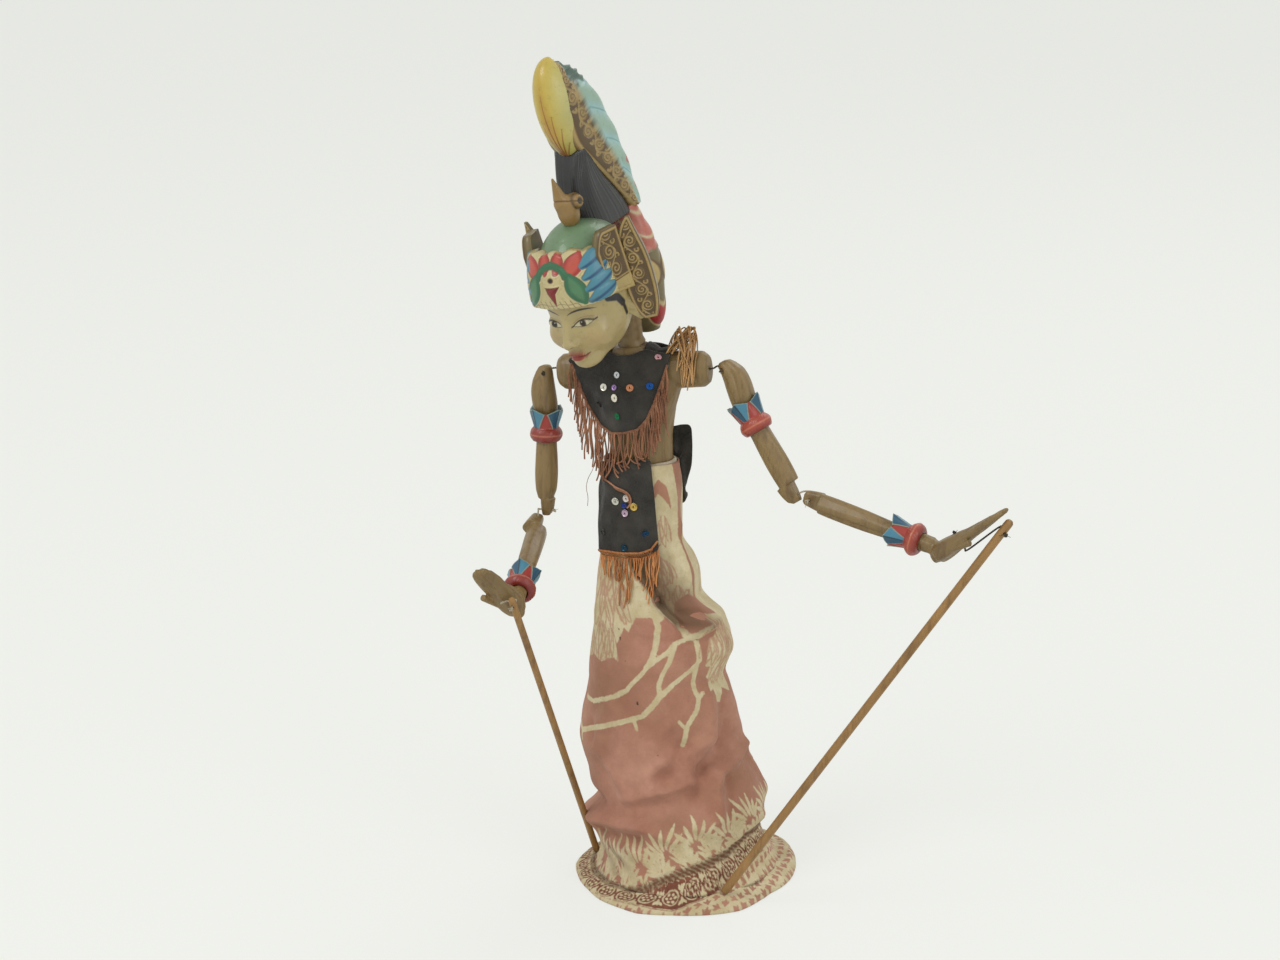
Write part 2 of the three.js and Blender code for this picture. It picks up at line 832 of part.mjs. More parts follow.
// Upper arm: flat tongue at each end, thick above the armlet
function makeUpperArm(length) {
  const full = upperArmThickness / 2;
  return tapered([
    [-5.5, 2.2, 2.6],
    [-4, 3.6, 3.8],
    [3, 4.4, 4.4],
    [12, full * 0.9, full * 0.8],
    [armletPlace - 17, full, full * 0.95],
    [armletPlace - 12, armletBore, armletBore],
    [armletPlace + 8, armletBore, armletBore],
    [72, full * 0.85, full * 0.8],
    [length - 14, full * 0.8, full * 0.75],
    [length - 8, 5, 5],
    [length, 4, 4],
    [length + 4.5, 3, 2.4],
  ], 18).subtract(crossHole('y', 0)).subtract(crossHole('x', length));
}

// Turned ring with carved petals that flare from it, bored to fit its limb
function makeBand(centre, bore) {
  const half = ringHeight / 2;
  const outer = ringDiameter / 2;
  const inner = bore + gap;
  const profile = [
    [inner + 1.4, -half], [outer - 1, -half * 0.6], [outer, 0], [outer - 1, half * 0.6], [inner + 1.4, half],
  ];
  const points = [...profile, [inner - 0.5, half], [inner - 0.5, -half]].map(([r, z]) => new THREE.Vector2(r, z));
  const ring = new THREE.LatheGeometry([...points, points[0]], bandSides);
  ring.rotateX(Math.PI / 2);
  let result = solid(ring);
  const collar = new THREE.LatheGeometry([
    [inner + 1.2, -half - petalLength * 0.45], [outer - 2.5, -half + 0.5],
    [inner - 0.5, -half + 0.5], [inner - 0.5, -half - petalLength * 0.45], [inner + 1.2, -half - petalLength * 0.45],
  ].map(([r, z]) => new THREE.Vector2(r, z)), bandSides);
  collar.rotateX(Math.PI / 2);
  result = result.add(solid(collar));
  for (let i = 0; i < petalCount; i += 1) {
    const outline = [[-2.6, 0], [2.6, 0], [3, -petalLength * 0.6], [0, -petalLength], [-3, -petalLength * 0.6]];
    const petal = plateXZ(outline, -1, 1);
    const place = new THREE.Matrix4().makeRotationZ((i / petalCount) * 2 * Math.PI)
      .multiply(new THREE.Matrix4().makeTranslation(0, -(inner + 1.6), -half + 1))
      .multiply(new THREE.Matrix4().makeRotationX(radians(-petalFlare)));
    result = result.add(moved(petal, place));
  }
  const core = new THREE.CylinderGeometry(inner, inner, 60, bandSides);
  core.rotateX(Math.PI / 2);
  result = result.subtract(solid(core));
  return result.translate([0, 0, centre]);
}

// Forearm and hand carved in one piece
function makeForearm(arm, frame) {
  const inverse = frame.clone().invert();
  const wrist = arm.wrist.clone().applyMatrix4(inverse);
  const half = forearmThickness / 2;
  const limb = tapered([
    [-4.5, 2.6, 2.6],
    [-3, 3.8, 3.4],
    [4, 4.4, 3.6],
    [8, half * 0.85, half * 0.8],
    [24, half, half * 0.95],
    [50, half, half * 0.95],
    [braceletPlace - 12, braceletBore, braceletBore],
    [braceletPlace + 7, braceletBore, braceletBore],
    [wrist.z, 5.4, 5.6],
  ], 18).subtract(crossHole('y', 0));
  const handFrame = inverse.clone().multiply(handMatrix(arm));
  const palm = skin([
    [-3, 3, 3.5], [3, 7, 5], [11, handWidth / 2, 5.2], [22, handWidth / 2, 4.4], [30, handWidth / 2 - 1, 3.6],
    [33, handWidth / 2 - 3, 2.4],
  ].map(([z, a, b]) => ovalRing(vec(0, 0, z), a, b, 18, 0.9)));
  let hand = palm;
  const length = arm.heel.distanceTo(arm.tip);
  for (let i = 0; i < 4; i += 1) {
    const across = (i - 1.5) * fingerPitch;
    const reach = length - [3, 0, 1, 5][i];
    const finger = tapered([
      [26, 2.1, 2.1, across * 1.02], [36, 2.3, 2.3, across], [reach - 6, 2, 2.1, across * 0.92],
      [reach - 1.5, 1.5, 1.6, across * 0.88], [reach, 0.6, 0.7, across * 0.88],
    ], 8);
    hand = hand.add(finger);
  }
  const thumb = bar(vec(-6, -1, 12), vec(-9.5, -5, 30), 4.6, 8);
  hand = hand.add(thumb).subtract(crossHole('y', handHoleDistance));
  const joint = bar(
    vec(0, 0, wrist.z - 1),
    vec(0, 0, 4).applyMatrix4(handFrame),
    10.6,
    18,
  );
  return limb.add(joint).add(moved(hand, handFrame));
}

// Hand frame: z along the hand, the palm facing -y
function handMatrix(arm) {
  const limb = arm.wrist.clone().sub(arm.forearm).normalize();
  return frameAlong(arm.heel, arm.tip, limb.negate());
}

// String with a knot at each of its ends, through points held straight where they go through a hole
function makeString(points, knots) {
  const curve = new THREE.CatmullRomCurve3(points, false, 'centripetal');
  const section = new THREE.Shape();
  section.absarc(0, 0, stringDiameter / 2, 0, 2 * Math.PI);
  const geometry = new THREE.ExtrudeGeometry(section, {
    steps: 16,
    bevelEnabled: false,
    extrudePath: curve,
    curveSegments: 3,
  });
  let result = solid(geometry);
  for (const place of knots) {
    result = result.add(ellipsoid(place.x, place.y, place.z, knotRadius, knotRadius, knotRadius, 6));
  }
  return result;
}

function shoulderString(arm) {
  const { side } = arm;
  const { x, z } = arm.shoulder;
  const end = side * shoulderHalfWidth;
  const points = [
    vec(end - side * 8.5, 0, z), vec(end - side * 5, 0, z), vec(end + side * 0.8, 0, z),
    vec(end + side * 2.6, 1.6, z), vec(end + side * 2.9, 5.5, z), vec(end + side * 4.8, 8.6, z),
    vec(x - side * 2.6, 10, z), vec(x - side * 0.5, 8.8, z), vec(x, 6.4, z), vec(x, 0, z), vec(x, -6.4, z),
  ];
  return makeString(points, [vec(x, -6.6, z)]);
}

function elbowString(arm, upper, fore, length) {
  const turn = arm.elbowTurn;
  const middle = at(upper, -turn * 6.4, 0, length + 1)
    .lerp(at(fore, 0, 6.6, -1), 0.5)
    .add(vec(0, 1.5, 1.5));
  const points = [
    at(upper, turn * 6.2, 0, length), at(upper, 0, 0, length), at(upper, -turn * 5.4, 0, length),
    middle,
    at(fore, 0, 5.6, 0), at(fore, 0, 0, 0), at(fore, 0, -5.4, 0),
  ];
  return makeString(points, [points[0], points[points.length - 1]]);
}

function rodString(arm, hand, rod) {
  const { tieDistance } = arm;
  const points = [
    at(hand, 0, 6.4, handHoleDistance), at(hand, 0, 2, handHoleDistance), at(hand, 0, -2, handHoleDistance),
    at(hand, 0, -6, handHoleDistance), at(hand, 0, -7.6, handHoleDistance + 2),
    at(rod, 0, 4.6, tieDistance), at(rod, 0, 0, tieDistance), at(rod, 0, -4.6, tieDistance),
  ];
  return makeString(points, [points[0], points[points.length - 1]]);
}

// Thin rod with rounded ends, from the hand down to the hem
function makeHandRod(arm, length) {
  const r = arm.rodDiameter / 2;
  const profile = [
    [0, 0], [r * 0.6, 0.3], [r * 0.95, 1.6], [r, 4], [r, length - 1.5], [r * 0.8, length], [0, length],
  ];
  const rod = new THREE.LatheGeometry(profile.map(([x, z]) => new THREE.Vector2(x, z)), 14);
  rod.rotateX(Math.PI / 2);
  return solid(rod).subtract(crossHole('y', arm.tieDistance, 8));
}

function addTo(frame, pieces) {
  const group = new THREE.Group();
  frame.decompose(group.position, group.quaternion, group.scale);
  for (const [name, shape, material] of pieces) {
    group.add(mesh(name, shape, material));
  }
  figure.add(group);
}

function addArm(label, arm) {
  const backward = vec(0, 1, 0);
  const upper = frameAlong(arm.shoulder, arm.elbow, backward);
  const fore = frameAlong(arm.forearm, arm.wrist, arm.forearmBack);
  const hand = handMatrix(arm);
  const length = arm.shoulder.distanceTo(arm.elbow);
  const handLength = arm.heel.distanceTo(arm.tip);
  const clear = arm.rodDiameter / 2 + (arm.rodAcross > 0 ? 4.4 : 2.4) + arm.tieGap;
  const rodTop = at(hand, arm.rodAcross, -clear, handLength + arm.rodAlong);
  const rodFoot = inFigure(arm.rodFoot);
  const rod = frameAlong(rodTop, rodFoot, arm.rodBack);
  const upperArm = makeUpperArm(length);
  const forearm = makeForearm(arm, fore);
  addTo(upper, [
    [`${label}_upper_arm`, upperArm, wood],
    [`${label}_armlet`, makeBand(armletPlace, armletBore), redPaint],
  ]);
  addTo(fore, [
    [`${label}_forearm`, forearm, wood],
    [`${label}_bracelet`, makeBand(braceletPlace, braceletBore), redPaint],
  ]);
  addTo(rod, [[`${label}_hand_rod`, makeHandRod(arm, rodTop.distanceTo(rodFoot)), rodWood]]);
  figure.add(mesh(`${label}_shoulder_string`, shoulderString(arm), string));
  figure.add(mesh(`${label}_elbow_string`, elbowString(arm, upper, fore, length), string));
  figure.add(mesh(`${label}_rod_string`, rodString(arm, hand, rod), string));
}

for (const [label, arm] of Object.entries(arms)) {
  addArm(label, arm);
}

export default root;
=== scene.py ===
import json
import math

import bmesh
import bpy
import numpy as np
from mathutils import Matrix, Vector
from mathutils.bvhtree import BVHTree

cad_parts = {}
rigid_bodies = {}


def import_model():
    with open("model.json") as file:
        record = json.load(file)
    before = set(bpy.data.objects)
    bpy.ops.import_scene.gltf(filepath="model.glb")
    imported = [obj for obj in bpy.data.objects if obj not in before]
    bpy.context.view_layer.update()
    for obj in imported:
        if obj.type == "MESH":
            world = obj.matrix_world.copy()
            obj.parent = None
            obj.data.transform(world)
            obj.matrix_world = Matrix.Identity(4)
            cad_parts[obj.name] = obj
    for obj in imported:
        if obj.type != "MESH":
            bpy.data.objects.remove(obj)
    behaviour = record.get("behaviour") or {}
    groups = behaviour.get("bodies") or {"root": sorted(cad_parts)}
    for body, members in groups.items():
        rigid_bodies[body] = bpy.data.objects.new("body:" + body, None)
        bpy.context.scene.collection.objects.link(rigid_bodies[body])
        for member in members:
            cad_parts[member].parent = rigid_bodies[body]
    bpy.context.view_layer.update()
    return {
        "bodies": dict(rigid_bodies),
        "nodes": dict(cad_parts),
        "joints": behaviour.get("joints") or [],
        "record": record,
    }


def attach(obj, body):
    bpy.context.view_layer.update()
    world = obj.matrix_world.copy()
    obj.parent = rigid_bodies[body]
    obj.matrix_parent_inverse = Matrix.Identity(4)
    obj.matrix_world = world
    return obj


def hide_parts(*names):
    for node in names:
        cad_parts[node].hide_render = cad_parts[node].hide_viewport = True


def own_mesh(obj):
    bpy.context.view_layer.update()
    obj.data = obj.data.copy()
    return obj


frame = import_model()
nodes = frame["nodes"]

mm = 0.001

# The figure leans on its stand, and the head turns and nods on the neck
figurePose = {"lean": 6.0, "bearing": 20.0, "neckTop": 392.0, "turn": -13.0, "nod": 14.0, "roll": -4.0}


def turnAbout(axis, degrees):
    return Matrix.Rotation(math.radians(degrees), 4, axis)


leanX = figurePose["lean"] * math.sin(math.radians(figurePose["bearing"]))
leanY = -figurePose["lean"] * math.cos(math.radians(figurePose["bearing"]))
figureFrame = turnAbout("X", leanX) @ turnAbout("Y", leanY)
headFrame = (
    figureFrame
    @ Matrix.Translation((0, 0, figurePose["neckTop"] * mm))
    @ turnAbout("Z", figurePose["turn"])
    @ turnAbout("X", figurePose["nod"])
    @ turnAbout("Y", figurePose["roll"])
)


def figurePoint(x, y, z):
    return figureFrame @ Vector((x * mm, y * mm, z * mm))


def headPoint(x, y, z):
    return headFrame @ Vector((x * mm, y * mm, z * mm))


print("frame loaded")

# Camera and lights

cameraSetup = {"place": (0.6188, -1.7994, 0.8108), "target": (-0.0568, 0.0569, 0.2629), "lens": 81.56}


def linked(name, data):
    made = bpy.data.objects.new(name, data)
    bpy.context.scene.collection.objects.link(made)
    return made


def addAimed(name, data, place, target):
    made = linked(name, data)
    made.location = place
    made.rotation_euler = (Vector(target) - Vector(place)).to_track_quat("-Z", "Y").to_euler()
    return made


def addCamera(setup):
    data = bpy.data.cameras.new("camera")
    data.lens = setup["lens"]
    data.sensor_width = 36
    data.clip_end = 100
    bpy.context.scene.camera = addAimed("camera", data, setup["place"], setup["target"])


def addAreaLight(name, place, target, size, power, color=(1, 1, 1)):
    data = bpy.data.lights.new(name, "AREA")
    data.shape = "DISK"
    data.size = size
    data.energy = power
    data.color = color
    addAimed(name, data, place, target)


def addNode(tree, kind, inputs=None, **settings):
    node = tree.nodes.new(kind)
    for key, value in settings.items():
        setattr(node, key, value)
    for key, value in (inputs or {}).items():
        if isinstance(value, bpy.types.NodeSocket):
            tree.links.new(value, node.inputs[key])
        else:
            node.inputs[key].default_value = value
    return node


def raysSeen(tree):
    # 1 for camera, glossy and transmission rays, which see the pale surroundings
    path = addNode(tree, "ShaderNodeLightPath")
    seen = path.outputs["Is Camera Ray"]
    for ray in ("Is Glossy Ray", "Is Transmission Ray"):
        seen = addNode(
            tree, "ShaderNodeMath", {0: seen, 1: path.outputs[ray]}, operation="MAXIMUM",
        ).outputs[0]
    return seen


def addWorld(strength):
    world = bpy.data.worlds.new("studio")
    bpy.context.scene.world = world
    world.use_nodes = True
    tree = world.node_tree
    background = tree.nodes["Background"]
    background.inputs["Color"].default_value = (0.93, 0.94, 0.91, 1)
    background.inputs["Strength"].default_value = strength
    shown = tree.nodes.new("ShaderNodeBackground")
    shown.inputs["Color"].default_value = (0.915, 0.925, 0.885, 1)
    inputs = {0: raysSeen(tree), 1: background.outputs[0], 2: shown.outputs[0]}
    mixed = addNode(tree, "ShaderNodeMixShader", inputs)
    tree.links.new(mixed.outputs[0], tree.nodes["World Output"].inputs["Surface"])


addCamera(cameraSetup)
addWorld(0.62)
addAreaLight("key", (-1.3, -1.9, 2.6), (-0.05, 0, 0.3), 1.6, 34)
addAreaLight("fill", (2.4, -1.2, 1.6), (0, 0, 0.3), 1.8, 16)
addAreaLight("rear", (0.6, 2.2, 2.4), (0, 0, 0.3), 1.6, 14)
bpy.context.scene.view_settings.view_transform = "Standard"
print("camera and lights placed")


# Materials


def linear(r, g, b):
    def one(c):
        c = c / 255
        return c / 12.92 if c <= 0.04045 else ((c + 0.055) / 1.055) ** 2.4

    return (one(r), one(g), one(b), 1)


def noiseOf(tree, vector, scale, detail=4, roughness=0.55):
    node = addNode(
        tree, "ShaderNodeTexNoise",
        {"Vector": vector, "Scale": scale, "Detail": detail, "Roughness": roughness},
    )
    return node.outputs["Fac"]


def rangeOf(tree, value, fromLow, fromHigh, toLow=0, toHigh=1):
    inputs = {"Value": value, "From Min": fromLow, "From Max": fromHigh, "To Min": toLow, "To Max": toHigh}
    return addNode(tree, "ShaderNodeMapRange", inputs).outputs["Result"]


def mixOf(tree, factor, a, b, blend="MIX"):
    node = addNode(tree, "ShaderNodeMix", data_type="RGBA", blend_type=blend)
    for index, value in ((0, factor), (6, a), (7, b)):
        if isinstance(value, bpy.types.NodeSocket):
            tree.links.new(value, node.inputs[index])
        else:
            node.inputs[index].default_value = value
    return node.outputs[2]


def greyOf(tree, value):
    return addNode(
        tree, "ShaderNodeCombineColor", {"Red": value, "Green": value, "Blue": value},
    ).outputs["Color"]


def newFinish(name, roughness, **sockets):
    material = bpy.data.materials.new(name)
    material.use_nodes = True
    tree = material.node_tree
    shader = tree.nodes["Principled BSDF"]
    shader.inputs["Roughness"].default_value = roughness
    for socket, value in sockets.items():
        shader.inputs[socket.replace("_", " ")].default_value = value
    return material, tree, shader


def bumpOf(tree, shader, heights):
    # heights are pairs of a value and its depth in mm
    normal = None
    for value, depth in heights:
        inputs = {"Height": value, "Distance": depth * mm, "Strength": 1.0}
        if normal is not None:
            inputs["Normal"] = normal
        normal = addNode(tree, "ShaderNodeBump", inputs).outputs["Normal"]
    tree.links.new(normal, shader.inputs["Normal"])


def wornFinish(
    name, color, roughness, tone, speck,
    dirt=(70, 62, 48), stretch=(1, 1, 1), depth=0.05, attribute=None, grain=0, **sockets
):
    # a painted or varnished surface: slow change of tone, fine specks of dirt, uneven gloss and small dents
    material, tree, shader = newFinish(name, roughness, **sockets)
    place = addNode(tree, "ShaderNodeTexCoord").outputs["Object"]
    mapped = addNode(tree, "ShaderNodeMapping", {"Vector": place, "Scale": stretch}).outputs["Vector"]
    if attribute:
        base = mixOf(
            tree, 1.0, addNode(tree, "ShaderNodeAttribute", attribute_name=attribute).outputs["Color"],
            linear(*color), "MULTIPLY",
        )
    else:
        base = addNode(tree, "ShaderNodeRGB").outputs[0]
        base.default_value = linear(*color)
    slow = rangeOf(tree, noiseOf(tree, mapped, tone[0], 5), 0.3, 0.7, 1 - tone[1], 1 + tone[1] * 0.6)
    shaded = mixOf(tree, 1.0, base, greyOf(tree, slow), "MULTIPLY")
    spots = rangeOf(tree, noiseOf(tree, mapped, speck[0], 6, 0.65), 0.56, 0.7, 0, speck[1])
    shaded = mixOf(tree, spots, shaded, linear(*dirt))
    heights = [(noiseOf(tree, mapped, 300, 6, 0.6), depth)]
    if grain:
        rings = addNode(
            tree, "ShaderNodeTexNoise",
            {"Vector": mapped, "Scale": grain, "Detail": 8.0, "Roughness": 0.7, "Distortion": 0.6},
        ).outputs["Fac"]
        shaded = mixOf(tree, rangeOf(tree, rings, 0.48, 0.66, 0, 0.55), shaded, linear(*dirt))
        heights.append((rings, depth * 1.5))
    tree.links.new(shaded, shader.inputs["Base Color"])
    gloss = rangeOf(
        tree, noiseOf(tree, mapped, tone[0] * 2.3, 4), 0.3, 0.7, max(roughness - 0.12, 0.05),
        min(roughness + 0.14, 1),
    )
    tree.links.new(gloss, shader.inputs["Roughness"])
    bumpOf(tree, shader, heights)
    return material


def clothFinish(name, color, lighter, weave, sheen=0.0, tone=60, strands=False):
    material, tree, shader = newFinish(name, 0.95, Sheen_Weight=sheen, Sheen_Roughness=0.4)
    place = addNode(tree, "ShaderNodeTexCoord").outputs["Object"]
    slow = rangeOf(tree, noiseOf(tree, place, tone, 6), 0.35, 0.7)
    fine = rangeOf(tree, noiseOf(tree, place, weave, 3), 0.3, 0.75, 0, 0.7)
    base = mixOf(tree, slow, linear(*color), linear(*lighter))
    cloth = mixOf(tree, fine, base, linear(*lighter))
    if strands:
        shade = addNode(tree, "ShaderNodeAttribute", attribute_name="tone").outputs["Fac"]
        cloth = mixOf(tree, 1.0, cloth, greyOf(tree, rangeOf(tree, shade, 0, 1, 0.62, 1.18)), "MULTIPLY")
    tree.links.new(cloth, shader.inputs["Base Color"])
    bumpOf(tree, shader, [(noiseOf(tree, place, weave, 3), 0.25), (noiseOf(tree, place, tone * 2, 4), 0.5)])
    return material


def batikFinish():
    # pink ground, cream motifs by their distance in mm, fine lines, a darker printed edging and small holes
    material, tree, shader = newFinish("batikCloth", 0.92, Sheen_Weight=0.08)
    place = addNode(tree, "ShaderNodeTexCoord").outputs["Object"]

    def distance(name):
        return addNode(tree, "ShaderNodeAttribute", attribute_name=name).outputs["Fac"]

    def plus(a, b, scale=1.0):
        return addNode(tree, "ShaderNodeMath", {0: a, 1: scale, 2: b}, operation="MULTIPLY_ADD").outputs[0]

    wander = rangeOf(tree, noiseOf(tree, place, 420, 4), 0.2, 0.8, -0.9, 0.9)
    cloud = rangeOf(tree, noiseOf(tree, place, 22, 6, 0.6), 0.34, 0.68)
    mottle = rangeOf(tree, noiseOf(tree, place, 95, 8, 0.7), 0.38, 0.66)
    ground = mixOf(tree, cloud, linear(166, 114, 92), linear(194, 144, 122))
    ground = mixOf(
        tree, rangeOf(tree, noiseOf(tree, place, 14, 3), 0.42, 0.66, 0, 0.75), ground, linear(154, 112, 84),
    )
    ground = mixOf(tree, rangeOf(tree, mottle, 0, 1, 0, 0.28), ground, linear(140, 90, 76))
    edging = mixOf(tree, mottle, linear(104, 58, 42), linear(138, 84, 62))
    ground = mixOf(tree, distance("edging"), ground, edging)
    cream = mixOf(tree, mottle, linear(198, 182, 142), linear(218, 206, 172))
    cream = mixOf(tree, rangeOf(tree, cloud, 0, 1, 0.35, 0), cream, linear(178, 160, 118))
    onCream = rangeOf(tree, plus(wander, distance("cream"), 0.5), -0.35, 0.35, 1, 0)
    veins = rangeOf(tree, plus(wander, distance("vein"), 0.4), 0.25, 0.8, 0.58, 0)
    cream = mixOf(tree, veins, cream, linear(170, 108, 92))
    cloth = mixOf(tree, onCream, ground, cream)
    # 'shade' darkens towards brown: the printed strip and stains along the hem, and painted shade inside the
    # wrap's opening
    cloth = mixOf(tree, rangeOf(tree, distance("shade"), 0, 1, 0, 0.84), cloth, linear(96, 70, 46))
    cloth = mixOf(tree, rangeOf(tree, distance("hole"), -0.2, 0.25, 0.92, 0), cloth, linear(52, 30, 26))
    cloth = mixOf(
        tree, rangeOf(tree, noiseOf(tree, place, 700, 5), 0.6, 0.74, 0, 0.3), cloth, linear(120, 86, 70),
    )
    tree.links.new(cloth, shader.inputs["Base Color"])
    threads = noiseOf(
        tree, addNode(tree, "ShaderNodeMapping", {"Vector": place, "Scale": (1, 1, 3)}).outputs["Vector"],
        1500, 2,
    )
    bumpOf(
        tree, shader,
        [(threads, 0.12), (noiseOf(tree, place, 150, 5), 0.7), (noiseOf(tree, place, 48, 3), 1.1)],
    )
    return material


varnishedWood = wornFinish(
    "varnishedWood", (134, 110, 68), 0.47, (28, 0.24), (300, 0.4), (78, 52, 26), (1, 1, 0.22), grain=120,
    Coat_Weight=0.08,
)
standWood = wornFinish(
    "standWood", (150, 114, 76), 0.7, (50, 0.2), (200, 0.3), (90, 62, 36), (1, 7, 1), grain=60,
)
rodWood = wornFinish(
    "rodWood", (156, 118, 68), 0.48, (60, 0.2), (400, 0.35), (84, 54, 28), (1, 1, 0.12), grain=150,
)
creamPaint = wornFinish(
    "creamPaint", (222, 205, 162), 0.38, (24, 0.1), (240, 0.3), (150, 120, 78), Coat_Weight=0.2,
)
capPaint = wornFinish(
    "capPaint", (116, 150, 122), 0.34, (34, 0.16), (220, 0.25), (64, 92, 78), Coat_Weight=0.25,
)
redPaint = wornFinish(
    "redPaint", (196, 84, 74), 0.42, (60, 0.12), (320, 0.3), (120, 44, 38), Coat_Weight=0.15,
)
hairPaint = wornFinish("hairPaint", (19, 19, 21), 0.32, (40, 0.3), (200, 0.3), (58, 54, 46), Coat_Weight=0.25)
domePaint = wornFinish(
    "domePaint", (226, 206, 112), 0.3, (16, 0.12), (200, 0.2), (166, 128, 48), Coat_Weight=0.35,
)
gildedPaint = wornFinish(
    "gildedPaint", (172, 146, 100), 0.46, (70, 0.2), (260, 0.4), (84, 60, 34), depth=0.12,
)
shellPaint = wornFinish("shellPaint", (158, 200, 206), 0.4, (50, 0.12), (260, 0.25), (84, 118, 130))
paintedWood = wornFinish(
    "paintedWood", (217, 213, 190), 0.42, (46, 0.1), (330, 0.28), (92, 74, 52), attribute="paint",
    Coat_Weight=0.18,
)
velvetCloth = clothFinish("velvetCloth", (20, 19, 18), (66, 62, 56), 1500, 0.35)
fringeYarn = clothFinish("fringeYarn", (112, 70, 50), (172, 122, 92), 900, strands=True)
# the fringe's yarn again, lighter and yellower for the bunch on top of the shoulder: painted light
bunchYarnPaintedLight = clothFinish("bunchYarnPaintedLight", (146, 104, 66), (206, 164, 112), 900, strands=True)
apronYarn = clothFinish("apronYarn", (166, 94, 48), (208, 146, 92), 900, strands=True)
sequinFoil = wornFinish(
    "sequinFoil", (255, 255, 255), 0.2, (300, 0.2), (900, 0.3), (60, 56, 50), attribute="paint",
    Metallic=0.85,
)
stringThread = clothFinish("stringThread", (146, 134, 110), (210, 200, 178), 1400)
darkThread = clothFinish("darkThread", (40, 34, 28), (92, 80, 66), 1400)
batikCloth = batikFinish()

finishes = {
    "varnished_wood": varnishedWood,
    "stand_wood": standWood,
    "rod_wood": rodWood,
    "face_paint": creamPaint,
    "cap_paint": capPaint,
    "red_paint": redPaint,
    "hair_paint": hairPaint,
    "dome_paint": domePaint,
    "gilded_paint": gildedPaint,
    "shell_paint": shellPaint,
    "velvet": velvetCloth,
    "fringe_yarn": fringeYarn,
    "apron_yarn": apronYarn,
    "batik": batikCloth,
    "string": stringThread,
}
for part in frame["record"]["subparts"]:
    piece = nodes[part["node"]]
    piece.data.materials.clear()
    piece.data.materials.append(finishes[part["material_slot"]])
print("materials made")


# Mesh helpers


def makePiece(name, points, faces, material, body, replaced=(), smooth=True):
    mesh = bpy.data.meshes.new(name)
    mesh.from_pydata([tuple(p) for p in points], [], faces)
    mesh.update()
    piece = linked(name, mesh)
    mesh.materials.append(material)
    mesh.polygons.foreach_set("use_smooth", [smooth] * len(mesh.polygons))
    return settle(piece, body, replaced)


def settle(piece, body, replaced=()):
    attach(piece, body)
    if replaced:
        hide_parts(*replaced)
    return piece


def addAttribute(piece, name, values):
    layer = piece.data.attributes.new(name, "FLOAT", "POINT")
    layer.data.foreach_set("value", np.asarray(values, dtype=np.float32))


def gridFaces(rows, around, start=0, flip=False):
    # quads between closed rings that follow each other
    faces = []
    for r in range(rows - 1):
        for i in range(around):
            j = (i + 1) % around
            a, b, c, d = (
                start + r * around + i, start + r * around + j, start + (r + 1) * around + j,
                start + (r + 1) * around + i,
            )
            faces.append((a, d, c, b) if flip else (a, b, c, d))
    return faces


def closingFaces(rows, around, first=0):
    # quads that join the first ring to the last, and the corner that each starts with
    last = (rows - 1) * around
    quads = [(i, (i + 1) % around, last + (i + 1) % around, last + i) for i in range(around)]
    return [quad[first:] + quad[:first] for quad in quads]


def gridRim(rows, cols):
    # the points round the edge of a grid, in order
    rim = list(range(cols)) + [i * cols + cols - 1 for i in range(1, rows)]
    return rim + [
        (rows - 1) * cols + j
        for j in range(cols - 2, -1, -1)
    ] + [i * cols for i in range(rows - 2, 0, -1)]


def zipFaces(fine, coarse, fineStart, coarseStart, flip=False):
    # joins a ring to one with half as many points
    faces = []
    for i in range(coarse):
        a, b, c = fineStart + 2 * i, fineStart + 2 * i + 1, fineStart + (2 * i + 2) % fine
        d, e = coarseStart + i, coarseStart + (i + 1) % coarse
        for face in ((a, b, d), (b, e, d), (b, c, e)):
            faces.append(face[::-1] if flip else face)
    return faces


def splineAt(a, b, c, d, t):
    # a smooth line through four points, from b at 0 to c at 1
    bend = (2 * a - 5 * b + 4 * c - d) * t**2 + (3 * b - a - 3 * c + d) * t**3
    return 0.5 * (2 * b + (c - a) * t + bend)


def smoothTable(table, at):
    # cubic through rows whose first column falls
    table = np.array(table, float)
    x = -table[:, 0]
    q = -np.asarray(at, float)
    i = np.clip(np.searchsorted(x, q) - 1, 0, len(x) - 2)
    t = ((q - x[i]) / (x[i + 1] - x[i]))[:, None]
    y = table[:, 1:]
    before = y[np.maximum(i - 1, 0)]
    after = y[np.minimum(i + 2, len(x) - 1)]
    return splineAt(before, y[i], y[i + 1], after, t)


def toSegment(x, y, a, b):
    # distance to a line piece, and how far along it from 0 to 1
    dx, dy = b[0] - a[0], b[1] - a[1]
    t = np.clip(((x - a[0]) * dx + (y - a[1]) * dy) / max(dx * dx + dy * dy, 1e-9), 0, 1)
    return np.hypot(x - a[0] - t * dx, y - a[1] - t * dy), t


def toLeaf(x, y, root, tip, width):
    # below zero inside a leaf that is widest at its middle
    distance, t = toSegment(x, y, root, tip)
    return distance - 0.5 * width * np.sin(np.pi * np.clip(t * 0.86 + 0.1, 0, 1)) ** 0.7


def toPolygon(x, y, points):
    # signed distance, below zero inside
    nearest = np.full(np.shape(x), 1e9)
    inside = np.zeros(np.shape(x), bool)
    for (ax, ay), (bx, by) in zip(points, points[1:] + points[:1]):
        nearest = np.minimum(nearest, toSegment(x, y, (ax, ay), (bx, by))[0])
        crosses = (ay > y) != (by > y)
        at = ax + (y - ay) / ((by - ay) if by != ay else 1e-9) * (bx - ax)
        inside ^= crosses & (x < at)
    return np.where(inside, -nearest, nearest)


def alongLine(points, share):
    table = np.array(points, float)
    steps = np.r_[0, np.cumsum(np.hypot(*np.diff(table, axis=0).T))]
    at = np.asarray(share) * steps[-1]
    return np.array([np.interp(at, steps, table[:, 0]), np.interp(at, steps, table[:, 1])]).T


